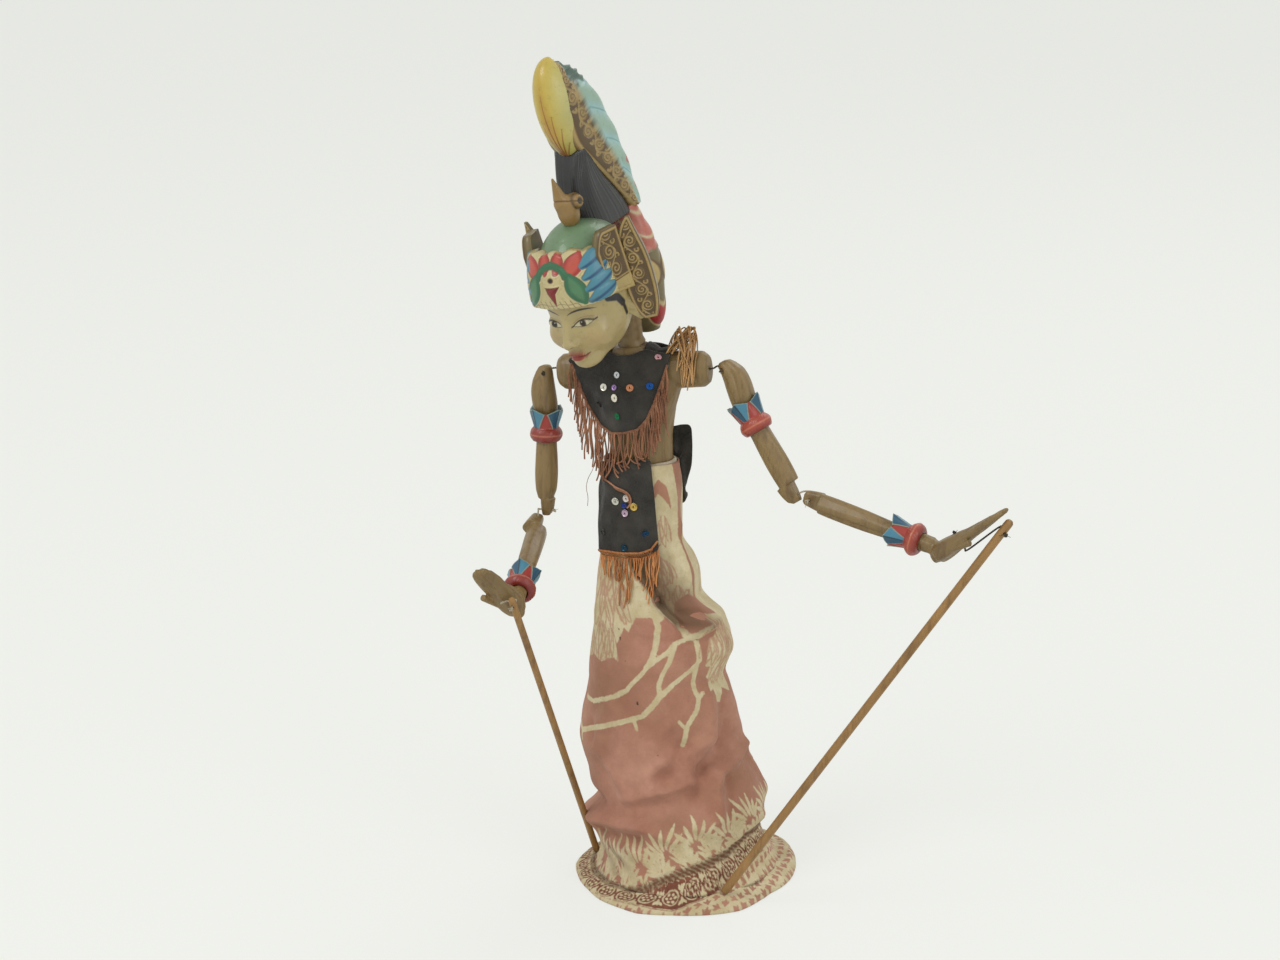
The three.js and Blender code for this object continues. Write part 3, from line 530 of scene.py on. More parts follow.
def curveThrough(points, count):
    table = np.array(points, float)
    out = []
    for i in range(len(table) - 1):
        corners = (table[max(i - 1, 0)], table[i], table[i + 1], table[min(i + 2, len(table) - 1)])
        out += [splineAt(*corners, t) for t in np.linspace(0, 1, count, endpoint=False)]
    return np.array(out + [table[-1]])


def turnedAngle(angle, middle):
    return (np.asarray(angle) - middle + 180) % 360 - 180


print("helpers ready")


# Skirt of batik cloth: rings of height, centre x, centre y, half width and half depth in mm

skirtRings = [
    (298.4, -31.2, -10.7, 26.4, 19.6), (288.2, -31.3, -10.3, 28.2, 20.6), (278.2, -31.4, -10.0, 28.8, 21.2),
    (266.1, -31.4, -9.5, 29.0, 21.9), (254.1, -31.1, -9.1, 29.2, 22.7), (243.1, -30.9, -8.7, 29.3, 23.5),
    (232.1, -28.6, -8.3, 31.6, 24.5), (221.1, -27.2, -7.9, 34.1, 26.3), (211.1, -27.3, -7.6, 35.0, 27.8),
    (203.2, -27.4, -7.3, 36.0, 29.1), (196.2, -24.5, -7.0, 40.0, 30.6), (189.4, -20.3, -6.8, 45.4, 32.6),
    (182.5, -19.0, -6.5, 47.6, 35.0), (174.7, -17.9, -6.3, 49.5, 37.2), (165.8, -18.0, -5.9, 50.1, 39.2),
    (156.8, -20.2, -5.6, 48.8, 41.0), (146.8, -21.9, -5.3, 48.0, 42.6), (136.7, -20.2, -4.9, 50.5, 44.0),
    (126.6, -19.5, -4.5, 53.1, 45.2), (116.6, -19.7, -4.2, 54.9, 46.4), (106.6, -19.4, -3.8, 56.7, 47.6),
    (96.6, -19.5, -3.5, 57.5, 49.2), (86.7, -17.5, -3.1, 56.6, 50.8), (76.9, -12.7, -2.8, 57.5, 52.4),
    (67.1, -9.6, -2.4, 58.7, 54.2), (57.4, -6.0, -2.1, 58.8, 56.2), (47.4, -7.8, -1.7, 59.2, 57.2),
    (37.5, -9.5, -1.3, 59.6, 58.4), (28.7, -5.6, -1.0, 58.6, 59.2), (20.0, -1.5, -1.2, 58.6, 60.6),
    (9.0, 0, -2.3, 58.4, 65.4),
]

# Where the border's edge lies on the floor: degrees round the stand, and mm from its middle
hemOutline = [
    (15, 76), (28, 78), (52, 84), (75, 85), (100, 83), (125, 80), (150, 76), (175, 75), (196, 78),
    (211, 77.5),
    (230, 79), (243, 82.5), (256, 84), (266, 86.5), (282, 83), (302, 83), (315, 82.5), (330, 76), (341, 73),
    (352, 74),
]

# Folds in the cloth: two ends in degrees and height, then the width and the height of the fold in mm
skirtFolds = [
    (304, 105, 284, 84, 5, -5.5), (350, 113, 319, 88, 6, -6), (319, 88, 304, 72, 5, -5),
    (307, 83, 283, 77, 3.5, 3.5), (283, 77, 250, 66, 3.5, 3), (302, 76, 264, 63, 4, -2.5),
    (10, 96, 325, 84, 5, 5), (325, 84, 315, 55, 4, 4), (336, 80, 326, 58, 4, -3), (326, 111, 290, 96, 5, 4),
    (290, 96, 271, 77, 5, 3), (291, 142, 293, 122, 4, 2), (293, 122, 283, 107, 4, 2),
    (268, 120, 262, 92, 6, -2),
    (244, 130, 232, 98, 6, 2.2), (224, 112, 240, 82, 5, -3), (232, 96, 252, 74, 5, 2.5),
    (333, 141, 328, 117, 5, 2.5),
    (346, 132, 336, 106, 5, -3), (188, 40, 222, 44, 7, 6), (222, 44, 262, 50, 4, 3.5),
    (262, 50, 288, 42, 4, 3),
    (222, 37, 262, 38, 5, -8), (190, 55, 222, 58, 5, -4), (282, 224, 300, 203, 5, -4),
    (300, 203, 305, 188, 5, -5),
    (305, 184, 334, 189, 3.5, 4.5), (334, 189, 358, 191, 3.5, 3), (316, 196, 342, 194, 3, -3.5),
    (322, 176, 336, 170, 5, 2),
    (340, 178, 352, 160, 5, 2.5), (352, 170, 8, 150, 5, -2.5), (286, 262, 300, 214, 5, 2),
    (330, 262, 318, 222, 5, -2.5),
    (346, 256, 340, 214, 4, 2.5), (226, 268, 236, 205, 7, 1.6), (240, 215, 262, 180, 8, -1.5),
    (214, 190, 232, 150, 8, 1.8),
    (30, 230, 42, 150, 8, 3), (60, 250, 66, 120, 9, -3.5), (95, 240, 88, 110, 9, 3.5),
    (125, 250, 132, 130, 9, -3.5),
    (160, 240, 152, 140, 9, 3), (190, 220, 200, 130, 8, -2), (30, 120, 50, 50, 8, -4),
    (75, 110, 68, 40, 8, 4),
    (105, 120, 112, 45, 8, -4), (140, 110, 132, 40, 8, 4), (170, 110, 165, 60, 8, -3.5),
    (18, 90, 34, 40, 6, 4),
    (50, 90, 90, 60, 5, 3), (100, 70, 150, 55, 5, 3), (345, 50, 25, 38, 5, 3), (300, 52, 335, 40, 4, 2.5),
]

# Free edge of the wrap, where the front panel lies over the rest: degrees and height
wrapEdge = [(247, 262), (258, 240), (271, 221), (290, 209), (297, 195), (301, 186), (305, 181)]

# The wall's top and its foot on the board, the fold pattern's radius, and where the print has its middle
skirtTop, skirtFoot, foldRadius, printMiddle = skirtRings[0][0], 9.0, 50, 282

skirtCloth = {
    "around": 400, "wallRows": (94, 96), "fineBelow": 120, "thickness": 1.2, "wrapStep": 2.4, "ledge": 1.9,
    "flare": 5.5, "borderAround": 600, "borderRows": 40,
}


# Printed band over the hem: degrees, the path of its top and of its foot (path is the height on the wall, and
# from 9 mm down the way out over the floor)
bandLines = [
    (5, 40, 23), (30, 34, 16), (60, 24, 7), (90, 17, 1), (120, 12, -3), (150, 10, -5), (180, 9, -6),
    (225, 8, -5), (240, 8, -5.5), (261, 12, -5.3),
    (274, 18, -5.5), (282, 20.6, -5), (297, 25, 4), (311, 29.5, 9.5), (325, 32, 14.6), (345, 39, 20),
]


def bandEdges(degrees):
    table = [(a + turn, top, foot) for turn in (-360, 0, 360) for a, top, foot in bandLines]
    at = np.asarray(degrees) % 360
    return [np.interp(at, [row[0] for row in table], [row[k] for row in table]) for k in (1, 2)]


def ringPoints(row, angles):
    x = row[:, 0:1] + row[:, 2:3] * np.cos(angles)
    y = row[:, 1:2] + row[:, 3:4] * np.sin(angles)
    return x, y


def foldHeights(degrees, heights, radius):
    lift = np.zeros(np.broadcast(degrees, heights).shape)
    for angle1, height1, angle2, height2, width, rise in skirtFolds:
        middle = angle1 + turnedAngle(angle2, angle1) / 2
        x = np.radians(turnedAngle(degrees, middle)) * radius
        ends = [math.radians(float(turnedAngle(a, middle))) for a in (angle1, angle2)]
        distance = toSegment(
            x, heights + 0 * x, (ends[0] * foldRadius, height1), (ends[1] * foldRadius, height2),
        )[0]
        lift += rise * np.exp(-((distance / width) ** 2))
    return lift


def wrapSide(degrees, heights):
    # mm of cloth above the wrap's edge, below zero where the front panel lies
    edge = sorted(wrapEdge, key=lambda p: p[1])
    at = np.interp(heights, [p[1] for p in edge], [p[0] for p in edge])
    return turnedAngle(degrees, at) * 0.6


def buildSkirtWall():
    around, rows = skirtCloth["around"], sum(skirtCloth["wallRows"])
    degrees = np.arange(around) * 360 / around
    upper = np.linspace(skirtRings[0][0], skirtCloth["fineBelow"], skirtCloth["wallRows"][0], endpoint=False)
    heights = np.concatenate([
        upper, np.linspace(skirtCloth["fineBelow"], skirtRings[-1][0], skirtCloth["wallRows"][1]),
    ])[:, None]
    row = smoothTable(skirtRings, heights[:, 0])
    x, y = ringPoints(row, np.radians(degrees))
    out = np.stack([np.cos(np.radians(degrees)) / row[:, 2:3], np.sin(np.radians(degrees)) / row[:, 3:4]])
    out /= np.linalg.norm(out, axis=0)
    lift = foldHeights(degrees[None, :], heights, foldRadius)
    side = wrapSide(degrees[None, :], heights)
    inWrap = (heights > 181) & (heights < 262)
    step = np.clip(-side / 1.2, 0, 1) * np.clip((side + 60) / 60, 0, 1)
    lift = lift + skirtCloth["wrapStep"] * np.where(inWrap, step, 0) * np.clip((heights - 179) / 6, 0, 1)
    rng = np.random.default_rng(7)
    for _ in range(14):
        waves, phase = rng.integers(2, 9), rng.uniform(0, 6.28, 2)
        lift += 0.28 * np.sin(
            np.radians(degrees) * waves + phase[0] + heights / rng.uniform(12, 40)
        ) * np.sin(heights / rng.uniform(9, 26) + phase[1])
    calm = np.clip((skirtTop - heights) / 14, 0, 1) * np.clip((heights - skirtFoot) / 9, 0.15, 1)
    lift = np.maximum(lift, -9) * calm
    over = heights - bandEdges(degrees)[0]
    lift += skirtCloth["ledge"] * (
        np.clip(over / 1.4, 0, 1) * np.clip(1 - over / 45, 0, 1) - 0.3
    ) * np.clip((heights - 10) / 4, 0, 1) * (over < 45)
    lift += skirtCloth["flare"] * np.exp(-(heights - skirtFoot) / 4)
    drop = 1.4 * np.exp(-(heights - skirtFoot) / 3)
    points = np.stack(
        [x + out[0] * lift, y + out[1] * lift, np.broadcast_to(heights - drop, x.shape)], axis=-1,
    )
    shape = {
        "degrees": np.broadcast_to(degrees, x.shape), "heights": np.broadcast_to(heights, x.shape),
        "side": side + 0 * x, "lift": lift,
    }
    inner = points[::3, ::2].copy()
    inner[..., 0] -= out[0][::3, ::2] * skirtCloth["thickness"]
    inner[..., 1] -= out[1][::3, ::2] * skirtCloth["thickness"]
    inner[-1, :, 2] += 0.4
    fine, coarse, innerRows = around, around // 2, inner.shape[0]
    start = rows * around
    faces = gridFaces(rows, around, flip=True)
    faces += gridFaces(innerRows, coarse, start)
    faces += zipFaces(fine, coarse, 0, start)
    faces += zipFaces(fine, coarse, (rows - 1) * around, start + (innerRows - 1) * coarse, flip=True)
    everything = np.concatenate([points.reshape(-1, 3), inner.reshape(-1, 3)]) * mm
    return everything, faces, shape, inner.shape[0] * inner.shape[1]


def hemRadius(degrees):
    edge = [(a - 360, r) for a, r in hemOutline] + hemOutline + [(a + 360, r) for a, r in hemOutline]
    return np.interp(np.asarray(degrees) % 360, [a for a, _ in edge], [r for _, r in edge])


def buildBorder():
    around, rows = skirtCloth["borderAround"], skirtCloth["borderRows"]
    degrees = np.arange(around) * 360 / around
    angles = np.radians(degrees)
    foot = np.stack([56.6 * np.cos(angles), -2.3 + 63.6 * np.sin(angles)])
    edge = np.stack([hemRadius(degrees) * np.cos(angles), -3 + hemRadius(degrees) * np.sin(angles)])
    share = np.linspace(0, 1, rows)[:, None]
    span = np.hypot(*(edge - foot))
    x = foot[0] + (edge[0] - foot[0]) * share
    y = foot[1] + (edge[1] - foot[1]) * share
    out = (edge - foot) / span
    crown = np.interp(
        share[:, 0], [0, 0.1, 0.2, 0.32, 0.5, 0.75, 0.92, 1], [15, 12, 9.6, 7.8, 6.4, 4.6, 3.2, 1.6],
    )[:, None]
    ripple = 0.55 * np.sin(angles * 9 + share * 5) + 0.4 * np.sin(angles * 17 - share * 7 + 1)
    path = skirtFoot + skirtCloth["flare"] - share * span
    layer = 1.3 * np.clip(
        (path - bandEdges(degrees)[0]) / 1.2, 0, 1,
    ) + 4.5 * share * np.exp(-((turnedAngle(degrees, 32) / 26) ** 2))
    z = crown + (ripple + layer) * np.clip(share * 6, 0, 1) * np.clip((1 - share) * 5, 0, 1)
    top = np.stack([x, y, z], axis=-1)
    rim = []
    for reach, height in ((0.35, 0.9), (0.2, 0.15), (-1.5, 0.02)):
        rim.append(np.stack(
            [edge[0] + out[0] * reach, edge[1] + out[1] * reach, np.full(around, height)], axis=-1,
        ))
    under = []
    for radius, height in ((60, 0.02), (54.5, 0.02), (53.6, 0.6), (53.6, 7.3)):
        under.append(np.stack(
            [radius * np.cos(angles), radius * np.sin(angles), np.full(around, height)], axis=-1,
        ))
    everything = np.concatenate([top, np.array(rim), np.array(under)])
    total = everything.shape[0]
    faces = gridFaces(total, around, flip=True) + closingFaces(total, around)
    path = np.concatenate([path, np.repeat(path[-1:], total - rows, axis=0)])
    return everything.reshape(-1, 3) * mm, faces, np.broadcast_to(degrees, path.shape), path


# Batik pattern: what is cream on the pink cloth, in degrees round the skirt and height in mm

batikFields = [
    [(196, 300), (258, 300), (271, 221), (290, 208), (296, 202), (297, 195), (291, 193), (286, 191),
     (284, 195), (268, 194), (260, 188), (257, 183), (253, 186), (245, 173), (247, 168), (249, 162),
     (244, 164), (237, 162), (232, 159), (219, 162), (205, 156), (190, 160)],
    [(255, 300), (352, 300), (352, 262), (349, 240), (343, 232), (347, 223), (350, 205), (345, 200),
     (334, 197), (324, 200), (314, 190), (305, 182), (298, 192), (290, 205), (275, 222)],
    [(334, 196), (344, 194), (13, 192), (22, 187), (22, 168), (14, 150), (9, 144), (3, 136), (352, 141),
     (347, 131), (340, 133), (339, 143), (334, 142), (335, 150), (331, 152), (331, 160), (325, 161),
     (323, 173), (328, 180), (334, 181), (345, 186)],
    [(305, 184), (320, 187), (334, 190), (350, 192), (350, 187), (330, 184), (318, 181), (306, 180)],
]
batikGround = [
    [(351, 266), (355, 240), (349, 226), (347, 214), (352, 208), (0, 222), (5, 242), (2, 266)],
    [(303, 187), (308, 196), (318, 204), (337, 208), (355, 203), (8, 199), (350, 194.5), (341, 195),
     (327, 190), (312, 188)],
    [(292, 266), (297, 281), (309, 289), (322, 284), (331, 266), (322, 273), (309, 279), (300, 273)],
    [(338, 300), (344, 276), (340, 250), (345, 228), (357, 228), (359, 300)],
]

# Branches: mm wide, then their points
batikBranches = [
    (
        3.1,
        [(205, 128), (225, 129), (250, 138), (262, 144), (271, 154), (276, 162), (281, 167), (289, 172),
         (296, 178), (305, 181)],
    ),
    (3.6, [(275, 162), (279, 172), (282, 182), (286, 193)]),
    (
        3.6,
        [(200, 106), (212, 104), (238, 114), (257, 121), (273, 127), (281, 134), (289, 142), (296, 146),
         (305, 153), (313, 160), (317, 166), (315, 178)],
    ),
    (3.2, [(290, 143), (289, 151), (290, 160), (293, 171), (296, 177)]),
    (3.4, [(316, 162), (319, 150), (321, 139), (317, 132), (312, 127), (307, 121), (305, 113), (303, 107)]),
    (2.4, [(320, 138), (327, 142)]),
    (2.4, [(306, 119), (301, 124)]),
    (2.2, [(266, 124), (269, 117)]),
    (3.4, [(204, 108), (210, 104), (212, 98)]),
]

# The band's repeat in mm, its share of the height, and the sizes of rings, lines and leaves
bandPrint = {"spacing": 15.6, "place": 0.42, "ring": 5.3, "lines": 0.42, "leaf": 6.8}

# Leaf sprays over the band: how many round the skirt, rise of the root over the band, length, leaves, spread
# in degrees and width of a leaf
sprayRows = [(17, 8, 25, 9, 78, 3.0), (17, -1, 21, 7, 50, 2.6), (40, -2, 10, 3, 40, 2.4)]
sprayLean = [(0, -38), (40, 0), (120, 4), (200, 12), (250, 8), (285, 0), (320, -24), (345, -40), (360, -38)]
batikHoles = [
    (249, 178, 0.9), (248, 184, 0.7), (270, 136, 1.0), (256, 164, 0.5), (316, 180, 0.7), (285, 101, 0.5),
]


def hemSprays():
    rng = np.random.default_rng(5)
    sprays = []
    for row, (count, rise, length, leaves, spread, width) in enumerate(sprayRows):
        for k in range(count):
            angle = (360 * (k + 0.35 + 0.5 * row) / count + rng.uniform(-2, 2)) % 360
            lean = np.interp(angle, [a for a, _ in sprayLean], [v for _, v in sprayLean]) + rng.uniform(-7, 7)
            height = float(bandEdges(angle)[0]) + rise + rng.uniform(-1.5, 1.5)
            sprays.append((angle, height, lean, length * rng.uniform(0.88, 1.1), leaves, spread, width))
    return sprays


def skirtRadius(heights):
    row = smoothTable(skirtRings, np.clip(heights, 9, 298))
    return (row[:, 2] + row[:, 3]) / 2


def chart(degrees, heights, middle):
    radius = skirtRadius(np.ravel(heights)).reshape(np.shape(heights))
    return np.radians(turnedAngle(degrees, middle)) * radius, heights


def charted(points, middle):
    x, y = chart([p[0] for p in points], np.array([float(p[1]) for p in points]), middle)
    return list(zip(x.tolist(), np.asarray(y).tolist()))


def sprayDistance(degrees, heights):
    nearest = np.full(np.shape(degrees), 9.0)
    for angle, height, lean, length, leaves, spread, width in hemSprays():
        near = (np.abs(turnedAngle(degrees, angle)) < 45) & (np.abs(heights - height) < 40)
        if not near.any():
            continue
        x, y = chart(degrees[near], heights[near], angle)
        best = nearest[near]
        for k, side in enumerate(np.linspace(-1, 1, leaves)):
            size = length * (1 - 0.34 * abs(side)) * (1, 0.9)[k % 2]
            turn = math.radians(lean + spread * side)
            root = (0.3 * size * math.sin(turn), height + 0.3 * size * math.cos(turn))
            tip = (size * math.sin(turn), height + size * math.cos(turn))
            best = np.minimum(best, toLeaf(x, y, root, tip, width))
        nearest[near] = best
    return nearest


def creamDistance(degrees, heights):
    nearest = np.full(np.shape(degrees), 9.0)
    for turn in (0, 180):
        middle = printMiddle + turn
        x, y = chart(degrees, heights, middle)
        fields = np.full(np.shape(degrees), 9.0)
        for field in batikFields:
            fields = np.minimum(fields, toPolygon(x, y, charted([(a + turn, h) for a, h in field], middle)))
        for ground in batikGround:
            fields = np.maximum(fields, -toPolygon(x, y, charted([(a + turn, h) for a, h in ground], middle)))
        for width, stroke in batikBranches:
            points = charted([(a + turn, h) for a, h in stroke], middle)
            for a, b in zip(points, points[1:]):
                fields = np.minimum(fields, toSegment(x, y, a, b)[0] - width / 2)
        reach = np.abs(turnedAngle(degrees, middle))
        nearest = np.minimum(nearest, np.where(reach < 108, fields, 9.0))
    return hemPrint(degrees, heights, nearest)


def veinDistance(degrees, heights):
    # fine lines drawn on the cream fields: rows of long petals
    nearest = np.full(np.shape(degrees), 9.0)
    for turn in (0, 180):
        for angle, height, lean, length in (
            (214, 232, 6, 30), (228, 214, 2, 34), (242, 226, -4, 40), (226, 186, 8, 28), (238, 182, 2, 26),
            (212, 176, 10, 24), (256, 214, -14, 24),
            (308, 232, 20, 16), (322, 214, 8, 14), (336, 210, -6, 16), (352, 176, 12, 14), (2, 160, 18, 15),
            (344, 158, 4, 12), (12, 176, 22, 12),
            (340, 192, -14, 34), (348, 190, 2, 44), (356, 188, 16, 40), (330, 186, -20, 24),
            (300, 236, 12, 22), (296, 218, 24, 18), (316, 262, 6, 20),
        ):
            x, y = chart(degrees, heights, angle + turn)
            for spread in (-24, 0, 24):
                bend = math.radians(lean + spread)
                root, tip = (0, height), (length * 0.6 * math.sin(bend), height - length * math.cos(bend))
                leaf = np.abs(toLeaf(x, y, root, tip, 6.0))
                nearest = np.minimum(
                    nearest, np.where(np.abs(turnedAngle(degrees, angle + turn)) < 60, leaf, 9.0),
                )
    return nearest


def holeDistance(degrees, heights):
    nearest = np.full(np.shape(degrees), 9.0)
    for angle, height, radius in batikHoles:
        x, y = chart(degrees, heights, angle)
        nearest = np.minimum(nearest, np.hypot(x, 0.8 * (y - height)) - radius)
    return nearest


def hemPrint(degrees, path, above):
    # sprays over the band, medallions and lines in it, and a cream foot with leaves left out
    top, foot = bandEdges(degrees)
    along = np.radians(turnedAngle(degrees, 281)) * 68
    spacing, ringSize = bandPrint["spacing"], bandPrint["ring"]
    y = path - (foot + (top - foot) * bandPrint["place"])
    x = (along + spacing / 2) % spacing - spacing / 2
    far = np.hypot(x, y)
    sector = (np.arctan2(y, x) + np.pi / 6) % (np.pi / 3) - np.pi / 6
    flower = np.minimum(
        np.abs(far - ringSize) - 0.5,
        np.hypot(far * np.cos(sector) - 0.55 * ringSize, far * np.sin(sector)) - 0.19 * ringSize,
    )
    flower = np.minimum(flower, far - 0.8)
    between = along % spacing - spacing / 2
    for root, tip in (
        ((0, 1), (0, 6.4)), ((0, -1), (0, -6.4)), ((0.8, 3.4), (2.6, 6.6)), ((-0.8, 3.4), (-2.6, 6.6)),
        ((0.8, -3.4), (2.6, -6.6)), ((-0.8, -3.4), (-2.6, -6.6)),
    ):
        flower = np.minimum(flower, toLeaf(between, y, root, tip, 2.0))
    for edge, width in ((top - 1, 1), (top - 3, 0.6), (foot + 0.9, 0.8)):
        flower = np.minimum(flower, np.abs(path - edge) - bandPrint["lines"] * width)
    scallop = np.abs(np.hypot(along % 4.4 - 2.2, path - top + 6.2) - 1.9) - 0.3
    flower = np.minimum(flower, np.where(path > top - 6.2, scallop, 9))
    # pink leaves in rows on the cream foot, each turned its own way
    below = path - foot
    size = bandPrint["leaf"]
    row = np.floor(-below / 7.5)
    number = np.floor((along + row * 3.1) / size)
    across = (along + row * 3.1) - (number + 0.5) * size
    down = -((-below) % 7.5) + 3.7
    turn = np.radians((number * 71 + row * 133) % 150 - 75)
    ax, ay = across * np.cos(turn) + down * np.sin(turn), down * np.cos(turn) - across * np.sin(turn)
    leaf = np.minimum(
        toLeaf(ax, ay, (0, -2.8), (0.3, 2.8), 2.5), toLeaf(ax, ay, (0.5, -1.6), (2.7, 1.2), 1.6),
    )
    leaf = np.minimum(leaf, toLeaf(ax, ay, (-0.5, -1.6), (-2.7, 1.0), 1.6))
    hem = np.minimum(flower, np.maximum(below, -leaf))
    over = np.minimum(sprayDistance(degrees, path), above)
    return np.clip(np.where(path > top, over, hem), -9, 9)


def hemShade(degrees, path):
    # the reddish ground of the band, and the brown strip and stains along it
    top, foot = bandEdges(degrees)
    red = np.clip((top - path) * 2, 0, 1) * np.clip((path - foot) * 2, 0, 1)
    strip = 0.75 * np.clip((top - path) * 2, 0, 1) * np.clip((path - top + 5) * 1.2, 0, 1)
    reach = np.clip(1 - np.abs(turnedAngle(degrees, 236)) / 32, 0, 1)
    stain = reach * np.clip(1 - np.abs(path - top - 15) / 24, 0, 1) * (
        0.6 + 0.4 * np.sin(path * 0.5 + np.radians(degrees) * 17)
    )
    return red, np.maximum(strip, 0.75 * stain)


def buildSkirt():
    points, faces, shape, innerCount = buildSkirtWall()
    degrees, heights = shape["degrees"].ravel(), shape["heights"].ravel()
    piece = makePiece("skirtCloth", points, faces, batikCloth, "torso", ["skirt"])
    red, brown = hemShade(degrees, heights)
    side = shape["side"].ravel()
    # inside the wrap's opening, the cloth next to the front panel's free edge is darkened: painted shade
    inside = np.clip((heights - 184) / 6, 0, 1) * np.clip((252 - heights) / 12, 0, 1)
    deep = inside * np.clip(1.6 - side / 25, 0, 1) * (side > 0)
    prints = {"cream": creamDistance, "vein": veinDistance, "hole": holeDistance}
    for name, measure in prints.items():
        addAttribute(piece, name, np.concatenate([measure(degrees, heights), np.full(innerCount, 9.0)]))
    for name, share in (("edging", red), ("shade", np.maximum(deep, brown))):
        addAttribute(piece, name, np.concatenate([share, np.zeros(innerCount)]))
    return piece


def buildSkirtBorder():
    points, faces, degrees, path = buildBorder()
    piece = makePiece("skirtBorder", points, faces, batikCloth, "torso", ["skirt_border"])
    degrees, path = degrees.ravel(), path.ravel()
    red, brown = hemShade(degrees, path)
    far = np.full(len(points), 9.0)
    prints = {"cream": hemPrint(degrees, path, far), "vein": far, "hole": far, "edging": red, "shade": brown}
    for name, values in prints.items():
        addAttribute(piece, name, values)
    return piece


skirtPiece = buildSkirt()
buildSkirtBorder()
print("skirt made")


# Repeats made with Geometry Nodes


def nodeTree(name, inputs):
    tree = bpy.data.node_groups.new(name, "GeometryNodeTree")
    tree.interface.new_socket(name="Geometry", in_out="INPUT", socket_type="NodeSocketGeometry")
    for label, kind in inputs:
        tree.interface.new_socket(name=label, in_out="INPUT", socket_type=kind)
    tree.interface.new_socket(name="Geometry", in_out="OUTPUT", socket_type="NodeSocketGeometry")
    return tree, tree.nodes.new("NodeGroupInput").outputs, tree.nodes.new("NodeGroupOutput")


def finishedTree(tree, given, output, geometry):
    real = addNode(tree, "GeometryNodeRealizeInstances", {"Geometry": geometry}).outputs["Geometry"]
    inputs = {"Geometry": real, "Material": given["Finish"]}
    tree.links.new(
        addNode(tree, "GeometryNodeSetMaterial", inputs).outputs["Geometry"], output.inputs["Geometry"],
    )
    return tree


def yarnTree():
    # edges become round yarns, as thick as their points say
    tree, given, output = nodeTree("yarns", [("Sides", "NodeSocketInt"), ("Finish", "NodeSocketMaterial")])
    thick = addNode(
        tree, "GeometryNodeInputNamedAttribute", {"Name": "thick"}, data_type="FLOAT",
    ).outputs["Attribute"]
    curve = addNode(tree, "GeometryNodeMeshToCurve", {"Mesh": given["Geometry"]}).outputs["Curve"]
    curve = addNode(tree, "GeometryNodeSetCurveRadius", {"Curve": curve, "Radius": thick}).outputs["Curve"]
    profile = addNode(
        tree, "GeometryNodeCurvePrimitiveCircle", {"Resolution": given["Sides"], "Radius": mm},
    ).outputs["Curve"]
    tube = addNode(
        tree, "GeometryNodeCurveToMesh", {"Curve": curve, "Profile Curve": profile, "Fill Caps": True},
    )
    if "Scale" in tube.inputs:
        tree.links.new(thick, tube.inputs["Scale"])
    shaded = addNode(
        tree, "GeometryNodeSetShadeSmooth", {"Geometry": tube.outputs["Mesh"]},
    ).outputs["Geometry"]
    return finishedTree(tree, given, output, shaded)


def shapeTree():
    # one small shape at each point, turned by spin and scaled by size
    tree, given, output = nodeTree(
        "placedShapes", [("Shape", "NodeSocketObject"), ("Finish", "NodeSocketMaterial")],
    )
    spin = addNode(
        tree, "GeometryNodeInputNamedAttribute", {"Name": "spin"}, data_type="FLOAT_VECTOR",
    ).outputs["Attribute"]
    size = addNode(
        tree, "GeometryNodeInputNamedAttribute", {"Name": "size"}, data_type="FLOAT_VECTOR",
    ).outputs["Attribute"]
    turn = addNode(tree, "FunctionNodeEulerToRotation", {"Euler": spin}).outputs["Rotation"]
    shape = addNode(
        tree, "GeometryNodeObjectInfo", {"Object": given["Shape"], "As Instance": True},
    ).outputs["Geometry"]
    points = addNode(tree, "GeometryNodeMeshToPoints", {"Mesh": given["Geometry"]}).outputs["Points"]
    inputs = {"Points": points, "Instance": shape, "Rotation": turn, "Scale": size}
    placed = addNode(tree, "GeometryNodeInstanceOnPoints", inputs).outputs["Instances"]
    return finishedTree(tree, given, output, placed)


yarns = yarnTree()
placedShapes = shapeTree()


def grown(name, mesh, tree, inputs, material):
    # runs the node tree once and keeps what it makes as a plain mesh
    seed = linked(name + "Seed", mesh)
    modifier = seed.modifiers.new("nodes", "NODES")
    modifier.node_group = tree
    for item in tree.interface.items_tree:
        if item.in_out == "INPUT" and item.name in inputs:
            modifier[item.identifier] = inputs[item.name]
    made = bpy.data.meshes.new_from_object(seed.evaluated_get(bpy.context.evaluated_depsgraph_get()))
    bpy.data.objects.remove(seed)
    made.name = name
    piece = linked(name, made)
    made.materials.clear()
    made.materials.append(material)
    return piece


def makeYarn(name, strands, material, body, replaced=(), sides=6):
    # strands are rows of points in metres, a radius in mm and a tone from 0 to 1
    points, edges, thick, tone = [], [], [], []
    for path, radius, shade in strands:
        start = len(points)
        points += [tuple(p) for p in path]
        edges += [(start + i, start + i + 1) for i in range(len(path) - 1)]
        thick += list(np.broadcast_to(radius, len(path)))
        tone += [shade] * len(path)
    mesh = bpy.data.meshes.new(name + "Lines")
    mesh.from_pydata(points, edges, [])
    for label, values in (("thick", thick), ("tone", tone)):
        layer = mesh.attributes.new(label, "FLOAT", "POINT")
        layer.data.foreach_set("value", np.asarray(values, dtype=np.float32))
    piece = grown(name, mesh, yarns, {"Sides": sides, "Finish": material}, material)
    return settle(piece, body, replaced)


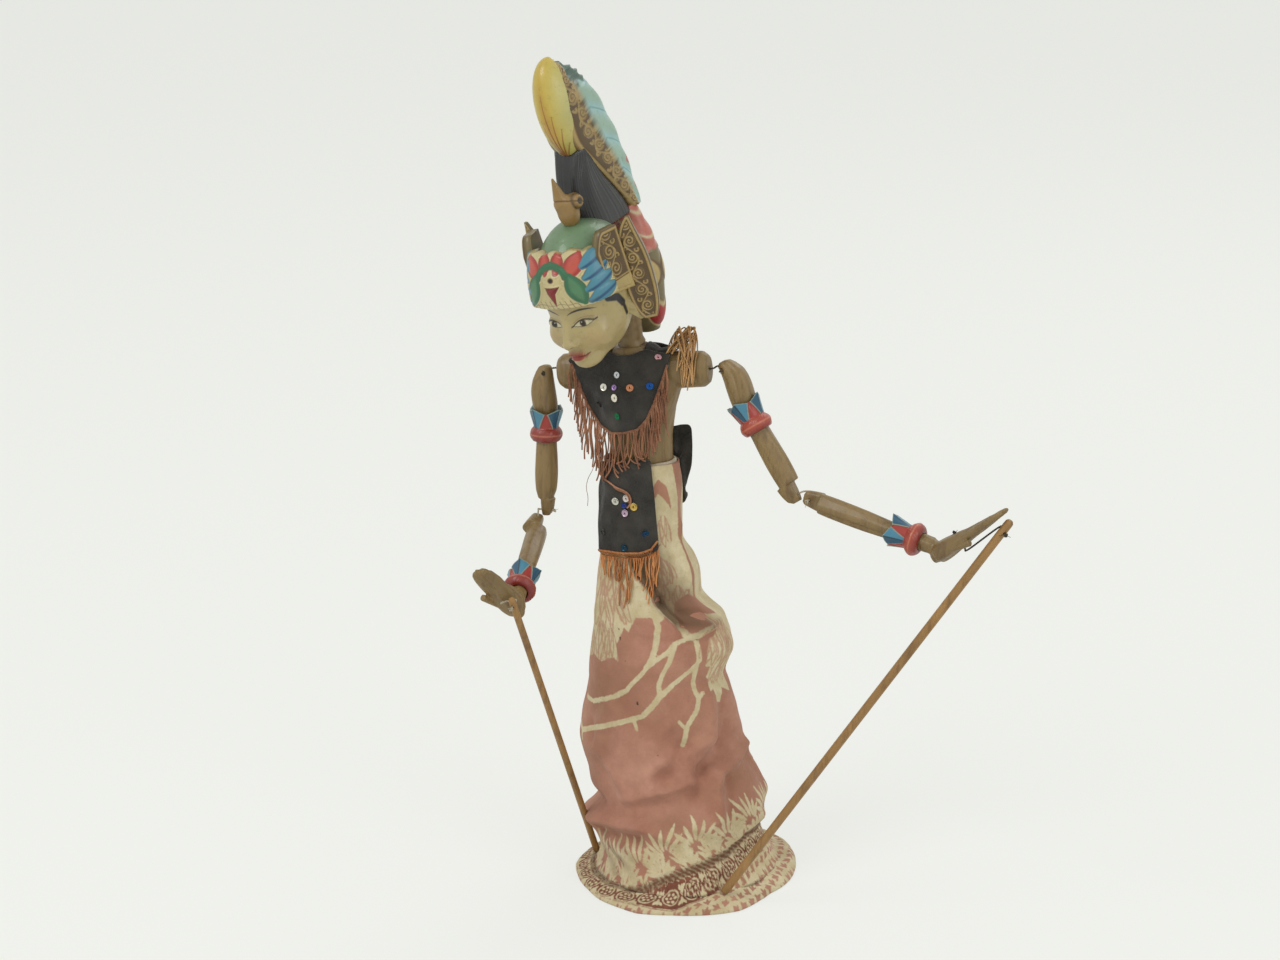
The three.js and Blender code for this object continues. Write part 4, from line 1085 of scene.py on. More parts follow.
def placeShapes(name, shape, places, material, body, replaced=()):
    # places are rows of a matrix in metres, a scale and a colour
    mesh = bpy.data.meshes.new(name + "Points")
    mesh.from_pydata([tuple(place.translation) for place, size, color in places], [], [])
    spin = mesh.attributes.new("spin", "FLOAT_VECTOR", "POINT")
    spin.data.foreach_set("vector", [a for place, size, color in places for a in place.to_euler()])
    scale = mesh.attributes.new("size", "FLOAT_VECTOR", "POINT")
    scale.data.foreach_set("vector", [a for place, size, color in places for a in size])
    paint = mesh.attributes.new("paint", "FLOAT_COLOR", "POINT")
    paint.data.foreach_set("color", [a for place, size, color in places for a in linear(*color)])
    piece = grown(name, mesh, placedShapes, {"Shape": shape, "Finish": material}, material)
    return settle(piece, body, replaced)


def makeShape(name, points, faces, smooth=True):
    # a shape to be repeated, kept out of the scene
    mesh = bpy.data.meshes.new(name)
    mesh.from_pydata([tuple(p) for p in points], [], faces)
    mesh.polygons.foreach_set("use_smooth", [smooth] * len(mesh.polygons))
    return bpy.data.objects.new(name, mesh)


# Cloth laid on the body

figureInverse = figureFrame.inverted()
figureDown = np.array(figureInverse.to_3x3() @ Vector((0, 0, -1)))


def surfaceOf(*pieces):
    points, faces = [], []
    for piece in pieces:
        start = len(points)
        points += [piece.matrix_world @ v.co for v in piece.data.vertices]
        faces += [[start + i for i in p.vertices] for p in piece.data.polygons]
    return BVHTree.FromPolygons(points, faces)


def depthOn(surface, x, z, side, missed):
    # figure y of the surface seen from the front (side -1) or the back (side 1)
    direction = figureFrame.to_3x3() @ Vector((0, -side, 0))
    hit = surface.ray_cast(figurePoint(x, side * 150, z), direction, 0.3)
    return (figureInverse @ hit[0]).y / mm if hit[0] else missed


def closedCurve(points, count):
    # evenly spaced points on a smooth closed line
    table = np.array(points, float)
    fine = []
    for i in range(len(table)):
        corners = [table[(i + k) % len(table)] for k in (-1, 0, 1, 2)]
        fine += [splineAt(*corners, t) for t in np.linspace(0, 1, 12, endpoint=False)]
    return alongLine(fine + fine[:1], np.linspace(0, 1, count, endpoint=False))


def clothOn(name, outline, surface, side, cloth, material, replaced):
    # a sheet whose rings shrink from its outline, laid on the surface with soft waves
    around, rings = cloth["around"], cloth["rings"]
    edge = closedCurve(outline, around)
    centre = edge.mean(axis=0)
    grid = np.array([centre + (edge - centre) * share for share in np.linspace(1, 0.03, rings)])
    x, z = grid[..., 0], grid[..., 1]
    y = np.array([
        [depthOn(surface, a, b, side, cloth["missed"]) for a, b in zip(*row)]
        for row in grid.transpose(0, 2, 1)
    ])
    for _ in range(cloth["smoothing"]):
        near = (
            np.roll(y, 1, 1) + np.roll(y, -1, 1) + np.vstack([y[:1], y[:-1]]) + np.vstack([y[1:], y[-1:]])
        ) / 4
        y = np.minimum(y, near) if side < 0 else np.maximum(y, near)
    wave = cloth["wave"] * (
        np.sin(x * 0.31 + z * 0.12 + 1.3) * np.sin(z * 0.23 - x * 0.1 + 0.4)
        + 0.6 * np.sin(x * 0.53 - z * 0.34) + 1.2
    )
    inner = y + side * (cloth["lift"] + wave)
    outer = inner + side * cloth["thickness"]
    middle = (inner[0] + outer[0]) / 2
    inner[0], outer[0] = middle - side * 0.25 * cloth["thickness"], middle + side * 0.25 * cloth["thickness"]
    points = [figurePoint(*p) for layer in (outer, inner) for p in zip(x.ravel(), layer.ravel(), z.ravel())]
    last, start = rings - 1, rings * around
    flip = side > 0
    faces = gridFaces(rings, around, 0, flip) + gridFaces(rings, around, start, not flip)
    faces += [
        (i, start + i, start + (i + 1) % around, (i + 1) % around)[:: -1 if flip else 1]
        for i in range(around)
    ]
    faces.append([last * around + i for i in range(around)][:: -1 if flip else 1])
    faces.append([start + last * around + i for i in range(around)][:: 1 if flip else -1])
    piece = makePiece(name, points, faces, material, "torso", replaced)
    size = edge.max(axis=0) - edge.min(axis=0)
    area = 0.5 * abs(np.dot(edge[:, 0], np.roll(edge[:, 1], 1)) - np.dot(edge[:, 1], np.roll(edge[:, 0], 1)))
    return piece, tuple(float(a) * 1.06 * mm for a in size), float(area) * 1.1 * mm * mm


bibCloth = {
    "around": 150, "rings": 34, "thickness": 1.1, "lift": 0.5, "wave": 0.3, "smoothing": 30, "missed": 9,
}
bibOutline = [
    (-43, 372), (-38.5, 366), (-35.8, 353), (-32.2, 342.8), (-28.2, 333.6), (-23.2, 326.6), (-15, 322.5),
    (-5, 323.2), (5.6, 325.6),
    (12.8, 332.5), (18.3, 342.8), (24, 355.9), (28.6, 368), (30, 374.5), (21, 377), (13, 378.5), (5, 376),
    (-6, 375.5), (-14, 378), (-26, 376.5), (-36, 375),
]
backBibOutline = [
    (-29, 372), (-26, 352), (-20, 335), (-8, 327), (8, 327), (20, 335), (26, 352), (29, 372), (20, 377),
    (12, 378.5), (0, 377), (-12, 378.5), (-20, 377),
]
apronOutline = [
    (-27.4, 292), (-30.4, 282), (-30.8, 262), (-31.2, 243), (-29, 240.5), (-15, 240), (-2.9, 239.9),
    (10, 241), (12, 244), (12, 262), (12.4, 283), (12, 300),
    (10, 304), (-9.2, 303.6), (-25, 302), (-28, 299),
]
panelOutline = [
    (12, 318), (26, 320), (31, 318.5), (31.4, 311), (29, 292), (24, 278), (23.4, 268), (18, 264), (6, 266),
    (2, 280), (4, 300), (8, 316),
]
torsoSurface = surfaceOf(nodes["torso"], nodes["waist_band"], skirtPiece)
apronCloth = {**bibCloth, "rings": 30, "lift": 0.7, "missed": 12}


def layCloth(name, outline, side, cloth, node):
    # side is -1 for the front and 1 for the back
    settings = {**cloth, "missed": side * cloth["missed"]}
    piece, size, area = clothOn(name, outline, torsoSurface, side, settings, velvetCloth, [node])
    return piece


chestBib = layCloth("chestBib", bibOutline, -1, bibCloth, "chest_bib")
layCloth("backBib", backBibOutline, 1, bibCloth, "back_bib")
apron = layCloth("apronCloth", apronOutline, -1, apronCloth, "apron")
layCloth("backPanel", panelOutline, 1, apronCloth, "back_panel")


# Velvet over each shoulder, from the bib in front to the one behind

strap = {
    "inner": 12.5, "outer": 29, "across": 22, "around": 46, "middle": 364, "lift": 1.2, "ends": -0.8,
    "thickness": 1.0,
}


def buildStrap(side):
    s = strap
    layers = [[], []]
    for x in np.linspace(s["inner"], s["outer"], s["across"]) * side:
        middle = (
            depthOn(torsoSurface, x, s["middle"], -1, -8) + depthOn(torsoSurface, x, s["middle"], 1, 8)
        ) / 2
        for turn in np.linspace(0.12, math.pi - 0.12, s["around"]):
            ray = Vector((0, -math.cos(turn), math.sin(turn)))
            hit = torsoSurface.ray_cast(
                figurePoint(x, middle + 60 * ray.y, s["middle"] + 60 * ray.z), figureFrame.to_3x3() @ -ray,
                0.2,
            )
            found = (figureInverse @ hit[0]).yz / mm if hit[0] else Vector((middle + 9, s["middle"]))
            reach = found - Vector((middle, s["middle"]))
            lift = s["lift"] + s["ends"] * abs(math.cos(turn)) ** 3 + 0.3 * math.sin(x * 0.9 + turn * 3)
            for layer, far in zip(layers, (reach.length + lift + s["thickness"], reach.length + lift)):
                layer.append(figurePoint(x, middle + far * ray.y, s["middle"] + far * ray.z))
    rows, cols, start = s["across"], s["around"], len(layers[0])
    faces = []
    for i in range(rows - 1):
        for j in range(cols - 1):
            a = i * cols + j
            faces += [
                (a, a + 1, a + cols + 1, a + cols),
                (start + a, start + a + cols, start + a + cols + 1, start + a + 1),
            ]
    rim = gridRim(rows, cols)
    faces += [(b, a, start + a, start + b) for a, b in zip(rim, rim[1:] + rim[:1])]
    if side < 0:
        faces = [face[::-1] for face in faces]
    piece = makePiece(
        "leftShoulderVelvet" if side > 0 else "rightShoulderVelvet", layers[0] + layers[1], faces,
        velvetCloth, "torso", [],
    )


buildStrap(1)
buildStrap(-1)
print("bibs, apron and back panel laid")


# Fringes, braid and sequins

fringes = {"bibStrands": 92, "apronStrands": 40, "bunchStrands": 30, "yarn": 0.52, "seed": 11}
# place along the bib's edge from 0 at the right shoulder to 1 at the left one, and the strand's length in mm
bibFringeLengths = [
    (0, 27), (0.1, 30), (0.22, 34), (0.34, 38), (0.42, 34), (0.5, 27), (0.6, 25), (0.7, 28), (0.8, 32),
    (0.9, 33), (1, 26),
]
bibFringeEdge = [
    (-41, 370), (-38.5, 365), (-35.8, 353), (-32.2, 342.8), (-28.2, 333.6), (-23.2, 326.6), (-15, 322.5),
    (-5, 323.2),
    (5.6, 325.6), (12.8, 332.5), (18.3, 342.8), (24, 355.9), (28.6, 368),
]
apronFringeLengths = [
    (-30, 9), (-26, 13), (-20, 17), (-14, 19), (-11, 33), (-8, 35), (-4, 16), (0, 14), (3, 20), (6, 34),
    (9, 40), (12, 24),
]


def hangStrand(start, length, surface, chance, curl, layer, knots=15):
    # a yarn that hangs from start in mm, in the figure's frame, and stays in front of the surface
    path = []
    drift, swing, phase = chance.normal(0, 0.07), chance.normal(0, 0.6), chance.uniform(0, 6.3)
    turned = chance.choice([-1, 1])
    place = np.array(start, float)
    step = length / (knots - 1)
    for i in range(knots):
        t = i / (knots - 1)
        path.append(place.copy())
        bend = curl * max(t - 0.45, 0) ** 1.5 * 7
        side = drift + 0.16 * math.sin(phase + t * 7)
        heading = figureDown * math.cos(bend) + np.array([
            turned * math.sin(bend) + side, -0.05 * swing * math.cos(phase + 5 * t), 0,
        ])
        place = place + heading / np.linalg.norm(heading) * step
    front = [min(p[1], depthOn(surface, p[0], p[2], -1, 90) - layer) for p in path]
    for _ in range(3):
        front = [
            min(front[i], (front[max(i - 1, 0)] + front[min(i + 1, knots - 1)]) / 2)
            for i in range(knots)
        ]
    front[0] = start[1]
    return [figurePoint(p[0], y, p[2]) for p, y in zip(path, front)]


def evenLine(path, pitch, least=0):
    # a path with eight even steps to each turn of the rope, its directions and the way along it
    path = np.array(path, float)
    steps = np.r_[0, np.cumsum(np.linalg.norm(np.diff(path, axis=0), axis=1))]
    at = np.linspace(0, steps[-1], max(int(steps[-1] / pitch * 8), least))
    line = np.array([np.interp(at, steps, path[:, k]) for k in range(3)]).T
    along = np.gradient(line, axis=0)
    return line, along / np.linalg.norm(along, axis=1)[:, None], at


def ropeStrands(path, radius, pitch, plies, shade):
    # thin plies wound round a path given in the figure's frame
    line, along, at = evenLine(path, pitch)
    out = np.cross(along, (0, 1, 0))
    out /= np.linalg.norm(out, axis=1)[:, None]
    front = np.cross(along, out)
    strands = []
    for k in range(plies):
        angle = (at / pitch * 2 * np.pi + 2 * np.pi * k / plies)[:, None]
        ply = line + radius * 0.55 * (np.cos(angle) * out + np.sin(angle) * front)
        strands.append(([figurePoint(*p) for p in ply], radius * 0.6, shade + 0.15 * k))
    return strands


def edgePath(edge, count, surface, lift):
    places = alongLine(edge, np.linspace(0, 1, count))
    depths = np.array([depthOn(surface, x, z, -1, -9) for x, z in places])
    depths = np.convolve(np.pad(depths, 3, mode="edge"), np.ones(7) / 7, "valid")
    return [(x, y - lift, z) for (x, z), y in zip(places, depths)]


def addBibFringe():
    chance = np.random.default_rng(fringes["seed"])
    surface = surfaceOf(nodes["torso"], apron, skirtPiece)
    bibSurface = surfaceOf(nodes["torso"], chestBib)
    edge = edgePath(bibFringeEdge, 90, bibSurface, 0.7)
    strands = ropeStrands(edge, 0.85, 4.2, 3, 0.1)
    for i in range(fringes["bibStrands"]):
        share = (i + chance.uniform(-0.3, 0.3)) / (fringes["bibStrands"] - 1)
        share = min(max(share, 0), 1)
        x, y, z = edge[int(share * 89)]
        length = np.interp(share, *np.array(bibFringeLengths).T) * chance.uniform(0.82, 1.08)
        curl = 0.75 * math.exp(-(((share - 0.55) / 0.13) ** 2)) * chance.uniform(0.2, 1.1)
        curl = curl + 0.05 * chance.uniform(0, 1)
        start = (x + chance.normal(0, 0.3), y - chance.uniform(0, 0.5), z - 0.3)
        path = hangStrand(start, length, surface, chance, curl, 0.7 + chance.uniform(0, 1.9))
        strands.append((path, fringes["yarn"] * chance.uniform(0.8, 1.2), chance.uniform(0, 1)))
    makeYarn("bibFringe", strands, fringeYarn, "torso", ["bib_fringe"])


def addShoulderBunch():
    # the fringe that has turned up and lies in a bunch over the left shoulder
    chance = np.random.default_rng(fringes["seed"] + 1)
    strands = []
    for i in range(fringes["bunchStrands"]):
        start = np.array([chance.uniform(27, 33), chance.uniform(-9, 4), chance.uniform(373, 379)])
        top = np.array([chance.uniform(35, 48), chance.uniform(-11, 5), chance.uniform(383, 397)])
        end = np.array([chance.uniform(36, 46), -chance.uniform(11, 13.5), chance.uniform(350, 374)])
        high = top + (top - start) * 0.1 + np.array([4, 0, 4])
        path = []
        for t in np.linspace(0, 1, 16):
            p = start * (1 - t) ** 3 + 3 * top * t * (1 - t) ** 2 + 3 * high * t**2 * (1 - t) + end * t**3
            p = p + np.array([
                math.sin(9 * t + i), 0.5 * math.cos(7 * t + 2 * i), 0.7 * math.sin(11 * t + 3 * i),
            ]) * 0.8
            bar = np.array([p[1], p[2] - 362])
            reach = math.hypot(bar[0] / 10.8, bar[1] / 14)
            if reach < 1.06:
                p[1], p[2] = bar[0] / reach * 1.06, 362 + bar[1] / reach * 1.06
            path.append(figurePoint(*p))
        strands.append((path, fringes["yarn"] * chance.uniform(0.75, 1.15), chance.uniform(0.4, 1)))
    bunch = makeYarn("shoulderBunch", strands, bunchYarnPaintedLight, "torso", ())
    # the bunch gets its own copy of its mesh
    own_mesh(bunch)


def addApronFringe():
    chance = np.random.default_rng(fringes["seed"] + 2)
    surface = surfaceOf(skirtPiece)
    apronSurface = surfaceOf(skirtPiece, apron)
    edge = edgePath([(-31, 242), (-15, 241), (0, 241), (8, 243), (12, 248)], 60, apronSurface, 0.5)
    strands = ropeStrands(edge, 0.7, 3.4, 3, 0.2)
    low = [(x, depthOn(surface, x, z - 4, -1, y) - 0.9, z - 4) for x, y, z in edge]
    strands += ropeStrands(low, 0.4, 2.6, 2, 0.3)
    for i in range(0, 58, 2):
        upper, lower = edge[i], low[min(i + 1, 59)]
        strands.append((
            [figurePoint(*upper), figurePoint(*lower), figurePoint(*edge[min(i + 2, 59)])], 0.3, 0.5,
        ))
    for i in range(fringes["apronStrands"]):
        share = min(max((i + chance.uniform(-0.4, 0.4)) / (fringes["apronStrands"] - 1), 0), 1)
        x, y, z = low[int(share * 59)]
        length = np.interp(x, *np.array(apronFringeLengths).T) * chance.uniform(0.75, 1.05)
        path = hangStrand(
            (x, y, z), length, surface, chance, 0.12 * chance.uniform(0, 1), 0.6 + chance.uniform(0, 1.2),
        )
        strands.append((path, fringes["yarn"] * chance.uniform(0.7, 1.1), chance.uniform(0, 1)))
    makeYarn("apronFringe", strands, apronYarn, "torso", ["apron_fringe"])


def addLooseYarns():
    surface = surfaceOf(nodes["torso"], apron, chestBib, skirtPiece)
    lines = [
        (
            [(-29, 294), (-24, 292), (-18, 290), (-11, 285), (-5, 283.5), (-2.5, 280), (-3, 274), (-7, 272)],
            0.6, 0.9,
        ),
        ([(-27, 296), (-22, 290.5), (-17, 290), (-12, 284), (-6, 283), (-3.5, 278), (-4.5, 275)], 0.5, 0.6),
        ([(-30, 302), (-31.5, 297), (-36, 291), (-38.5, 284), (-37.5, 277), (-39, 270)], 0.18, 0.2),
    ]
    strands = []
    for line, radius, shade in lines:
        places = alongLine(line, np.linspace(0, 1, 26))
        places = np.array([
            np.convolve(np.pad(c, 2, mode="edge"), np.ones(5) / 5, "valid")
            for c in places.T
        ]).T
        strands.append((
            [figurePoint(x, depthOn(surface, x, z, -1, -14) - radius - 0.9, z) for x, z in places], radius,
            shade,
        ))
    makeYarn("looseYarns", strands, fringeYarn, "torso", ())


sequins = {
    "radius": 2.5,
    "rows": [
        (-6, 363.1, 0.9, (196, 200, 204)), (-16.3, 354.9, 1, (226, 222, 210)),
        (-8.3, 354.8, 0.8, (150, 120, 170)), (3.1, 354.7, 1, (196, 132, 96)),
        # the near-white disc at -8.4, 347.9 takes the colour of a highlight on it: painted highlight
        (-8.4, 347.9, 1.1, (236, 230, 214)), (-7.7, 335.4, 0.95, (20, 110, 70)),
        (16.8, 355.2, 1, (30, 80, 150)), (22.4, 373.5, 0.95, (200, 150, 158)),
        (-22, 342.5, 0.9, (52, 56, 54)), (-14.7, 276.6, 1.05, (210, 208, 196)),
        (-6.5, 278.7, 1, (206, 196, 190)), (-1.4, 273, 1.1, (200, 170, 90)),
        (-8.2, 268.6, 1, (184, 160, 180)), (-8.4, 273.8, 0.85, (40, 60, 130)),
        (-26, 255.2, 0.9, (60, 64, 60)), (5.3, 254.6, 1, (20, 60, 90)), (-10.4, 244.9, 0.95, (26, 60, 78)),
    ],
}


def addSequins():
    # cupped foil discs with a hole and a stitch, lying on the velvet
    chance = np.random.default_rng(5)
    surface = surfaceOf(chestBib, apron)
    sides = 18
    rings = [(0.16, 0.1), (0.5, 0.02), (0.92, 0.16), (1, 0.2), (0.96, 0.12), (0.5, -0.04), (0.16, 0.02)]
    radius = sequins["radius"] * mm
    points = [
        (r * math.cos(a) * radius, r * math.sin(a) * radius, h * radius)
        for r, h in rings for a in np.linspace(0, 2 * math.pi, sides, endpoint=False)
    ]
    faces = gridFaces(len(rings), sides, 0, True) + [face[::-1] for face in closingFaces(len(rings), sides)]
    disc = makeShape("sequinDisc", points, faces)
    places, stitches = [], []
    for x, z, size, color in sequins["rows"]:
        y = depthOn(surface, x, z, -1, -18)
        tilt = [(depthOn(surface, x + dx, z + dz, -1, y) - y) / 3 for dx, dz in ((3, 0), (0, 3))]
        normal = figureFrame.to_3x3() @ Vector((tilt[0], -1, tilt[1])).normalized()
        normal = (normal + Vector(chance.normal(0, 0.16, 3))).normalized()
        place = normal.to_track_quat("Z", "X").to_matrix().to_4x4()
        place.translation = figurePoint(x, y - 0.45, z)
        places.append((place, (size, size, size), color))
        middle = figurePoint(x, y - 0.7, z)
        across = place.to_3x3() @ Vector((1, 0, 0)) * 0.9 * mm
        stitches.append((
            [
                middle - across * 1.4 - normal * 0.3 * mm, middle + normal * 0.25 * mm, middle + across * 1.4
                - normal * 0.3 * mm
            ],
            0.14, 0.5,
        ))
    placeShapes("sequins", disc, places, sequinFoil, "torso", ())
    makeYarn("sequinStitches", stitches, darkThread, "torso", (), 5)


addBibFringe()
addShoulderBunch()
addApronFringe()
addLooseYarns()
addSequins()
print("fringes and sequins hung")


# Carving and painting helpers


def layPaint(rgb, distance, color, soft=0.3):
    # covers where the distance in mm is below zero
    share = np.clip(0.5 - distance / (2 * soft), 0, 1)[..., None]
    return rgb * (1 - share) + np.array(color, float) * share


def plainPaint(shape, color):
    return np.broadcast_to(np.array(color, float), tuple(np.shape(shape)) + (3,)).copy()


def paintPiece(piece, rgb):
    # colours from 0 to 255 become the attribute that the painted finish reads
    c = np.clip(rgb.reshape(-1, 3) / 255, 0, 1)
    c = np.where(c <= 0.04045, c / 12.92, ((c + 0.055) / 1.055) ** 2.4)
    layer = piece.data.attributes.new("paint", "FLOAT_COLOR", "POINT")
    layer.data.foreach_set("color", np.c_[c, np.ones(len(c))].ravel().astype(np.float32))


def gridNormals(points, closed):
    # points are rows x columns x 3; closed where the last column meets the first
    across = np.roll(points, -1, 1) - np.roll(points, 1, 1) if closed else np.gradient(points, axis=1)
    normals = np.cross(across, np.gradient(points, axis=0))
    return normals / np.maximum(np.linalg.norm(normals, axis=-1, keepdims=True), 1e-9)


def loftPiece(name, points, rgb, place, body, replaced=(), material=None):
    # closed rings from bottom to top, capped at both ends
    rows, around = points.shape[:2]
    ends = [points[0].mean(axis=0), points[-1].mean(axis=0)]
    faces = gridFaces(rows, around)
    low, high, last = rows * around, rows * around + 1, (rows - 1) * around
    for i in range(around):
        j = (i + 1) % around
        faces += [(low, j, i), (high, last + i, last + j)]
    flat = np.concatenate([points.reshape(-1, 3), ends])
    piece = makePiece(name, [place(*p) for p in flat], faces, material or paintedWood, body, replaced)
    if rgb is not None:
        paintPiece(piece, np.concatenate([rgb.reshape(-1, 3), [rgb[0].mean(axis=0), rgb[-1].mean(axis=0)]]))
    return piece


def platePiece(name, front, back, rgb, edgeColor, place, body, replaced=(), material=None):
    # two grids of rows x columns, joined round their rim
    rows, cols = front.shape[:2]
    count = rows * cols
    faces = []
    for r in range(rows - 1):
        for c in range(cols - 1):
            a, b, d, e = r * cols + c, r * cols + c + 1, (r + 1) * cols + c + 1, (r + 1) * cols + c
            faces += [(a, b, d, e), (count + a, count + e, count + d, count + b)]
    rim = gridRim(rows, cols)
    start = 2 * count
    middle = (front.reshape(-1, 3)[rim] + back.reshape(-1, 3)[rim]) / 2
    for i in range(len(rim)):
        j = (i + 1) % len(rim)
        faces += [
            (rim[i], start + i, start + j, rim[j]), (start + i, count + rim[i], count + rim[j], start + j),
        ]
    flat = np.concatenate([front.reshape(-1, 3), back.reshape(-1, 3), middle])
    piece = makePiece(name, [place(*p) for p in flat], faces, material or paintedWood, body, replaced)
    if rgb is not None:
        rest = plainPaint(np.zeros(count + len(rim)), edgeColor)
        paintPiece(piece, np.concatenate([rgb.reshape(-1, 3), rest]))
    return piece


def blobGrid(centre, field, rows, around, reach, axis=2):
    # the points where the field first reaches zero, outward from the centre
    lat = np.linspace(-np.pi / 2 + 0.004, np.pi / 2 - 0.004, rows)[:, None]
    lon = np.linspace(0, 2 * np.pi, around, endpoint=False)[None, :]
    parts = [np.cos(lat) * np.cos(lon), np.cos(lat) * np.sin(lon), np.sin(lat) + 0 * lon]
    order = {2: (0, 1, 2), 1: (1, 2, 0), 0: (2, 0, 1)}[axis]
    out = np.stack([parts[order[0]], parts[order[1]], parts[order[2]]], axis=-1)
    low, high = np.zeros(out.shape[:2]), np.full(out.shape[:2], float(reach))
    for _ in range(22):
        middle = (low + high) / 2
        inside = field(*np.moveaxis(np.array(centre) + out * middle[..., None], -1, 0)) < 0
        low, high = np.where(inside, middle, low), np.where(inside, high, middle)
    return np.array(centre) + out * low[..., None]


def blob(x, y, z, cx, cy, cz, rx, ry, rz):
    # about the distance to an ellipsoid, below zero inside
    px, py, pz = (x - cx) / rx, (y - cy) / ry, (z - cz) / rz
    k0 = np.sqrt(px**2 + py**2 + pz**2)
    k1 = np.sqrt((px / rx) ** 2 + (py / ry) ** 2 + (pz / rz) ** 2)
    return k0 * (k0 - 1) / np.maximum(k1, 1e-6)


def rod(x, y, z, a, b, ra, rb):
    # distance to a round rod that tapers from a to b
    a, b = np.array(a, float), np.array(b, float)
    d = b - a
    t = np.clip(((x - a[0]) * d[0] + (y - a[1]) * d[1] + (z - a[2]) * d[2]) / (d @ d), 0, 1)
    away = np.sqrt((x - a[0] - t * d[0]) ** 2 + (y - a[1] - t * d[1]) ** 2 + (z - a[2] - t * d[2]) ** 2)
    return away - ra - (rb - ra) * t


def join(a, b, soft):
    share = np.clip(0.5 + 0.5 * (b - a) / soft, 0, 1)
    return b + (a - b) * share - soft * share * (1 - share)


def carve(a, b, soft):
    return -join(-a, b, soft)


def scroll(x, z, pitch, size, first=0.0):
    # distance to a row of spirals whose hand alternates, joined by a wavy stem
    cell = np.floor((z - first) / pitch)
    side = np.where(cell % 2 == 0, 1, -1)
    dx, dz = (x - side * size * 0.12) * side, z - first - (cell + 0.5) * pitch
    r, angle = np.hypot(dx, dz), np.arctan2(dz, dx)
    gap = size * 0.5
    arm = np.abs((r - gap * angle / (2 * np.pi) + gap * 0.5) % gap - gap * 0.5)
    spiral = np.where(r < size * 0.92, arm, r - size * 0.92 + gap * 0.3)
    stem = np.abs(x + size * 0.8 * np.sin(np.pi * (z - first) / pitch + 0.4))
    leaf = np.abs(np.hypot(dx + size * 0.95, np.abs(dz) - pitch * 0.42) - size * 0.3)
    return np.minimum(np.minimum(spiral, stem), leaf)


gilt = {"high": (196, 170, 122), "low": (106, 84, 54), "edge": (140, 126, 92)}


def giltPaint(height, deep=0.9):
    # worn gilding on what stands up, and darker colour in what lies deep
    share = np.clip(height / deep, 0, 1)[..., None]
    return np.array(gilt["low"], float) * (1 - share) + np.array(gilt["high"], float) * share


print("carving helpers ready")


# Head

headShape = {"rows": 272, "around": 340}
faceShape = {"brow": 39, "eye": 33, "eyeApart": 11.6, "nose": 19, "mouth": 10.4}
neckShape = {"radius": 8.6, "foot": -11.4}


def headField(x, y, z):
    f = faceShape
    ax = np.abs(x)
    head = blob(x, y, z, 0, -25, 48, 29, 37.5, 41.5)
    head = join(head, blob(x, y, z, 0, -37, 23, 22, 25, 22.5), 9)
    head = join(head, blob(x, y, z, 0, -51, 4.5, 9.5, 9.5, 6.5), 7)
    head = join(head, blob(ax, y, z, 15, -49, 22, 8, 9, 8), 8)
    head = carve(head, blob(ax, y, z, f["eyeApart"] + 0.4, -65.5, f["eye"] + 1.2, 9.4, 5.2, 5.2), 5)
    head = join(head, blob(ax, y, z, f["eyeApart"], -54.2, f["eye"], 7.2, 5.4, 4.3), 1.6)
    head = join(head, rod(x, y, z, (0, -59, 38), (0, -67, 21.5), 2.2, 3.3), 4.5)
    head = join(head, blob(ax, y, z, 3.9, -63.5, 20.6, 2.6, 3.4, 2.3), 2)
    head = join(head, blob(x, y, z, 0, -60.2, f["mouth"] + 1.7, 8, 3.6, 1.9), 2)
    head = join(head, blob(x, y, z, 0, -59.4, f["mouth"] - 2, 6.4, 3.8, 2.2), 1.6)
    head = join(head, blob(ax, y, z, 29, -20, 27, 3.6, 7, 11), 2.5)
    return head


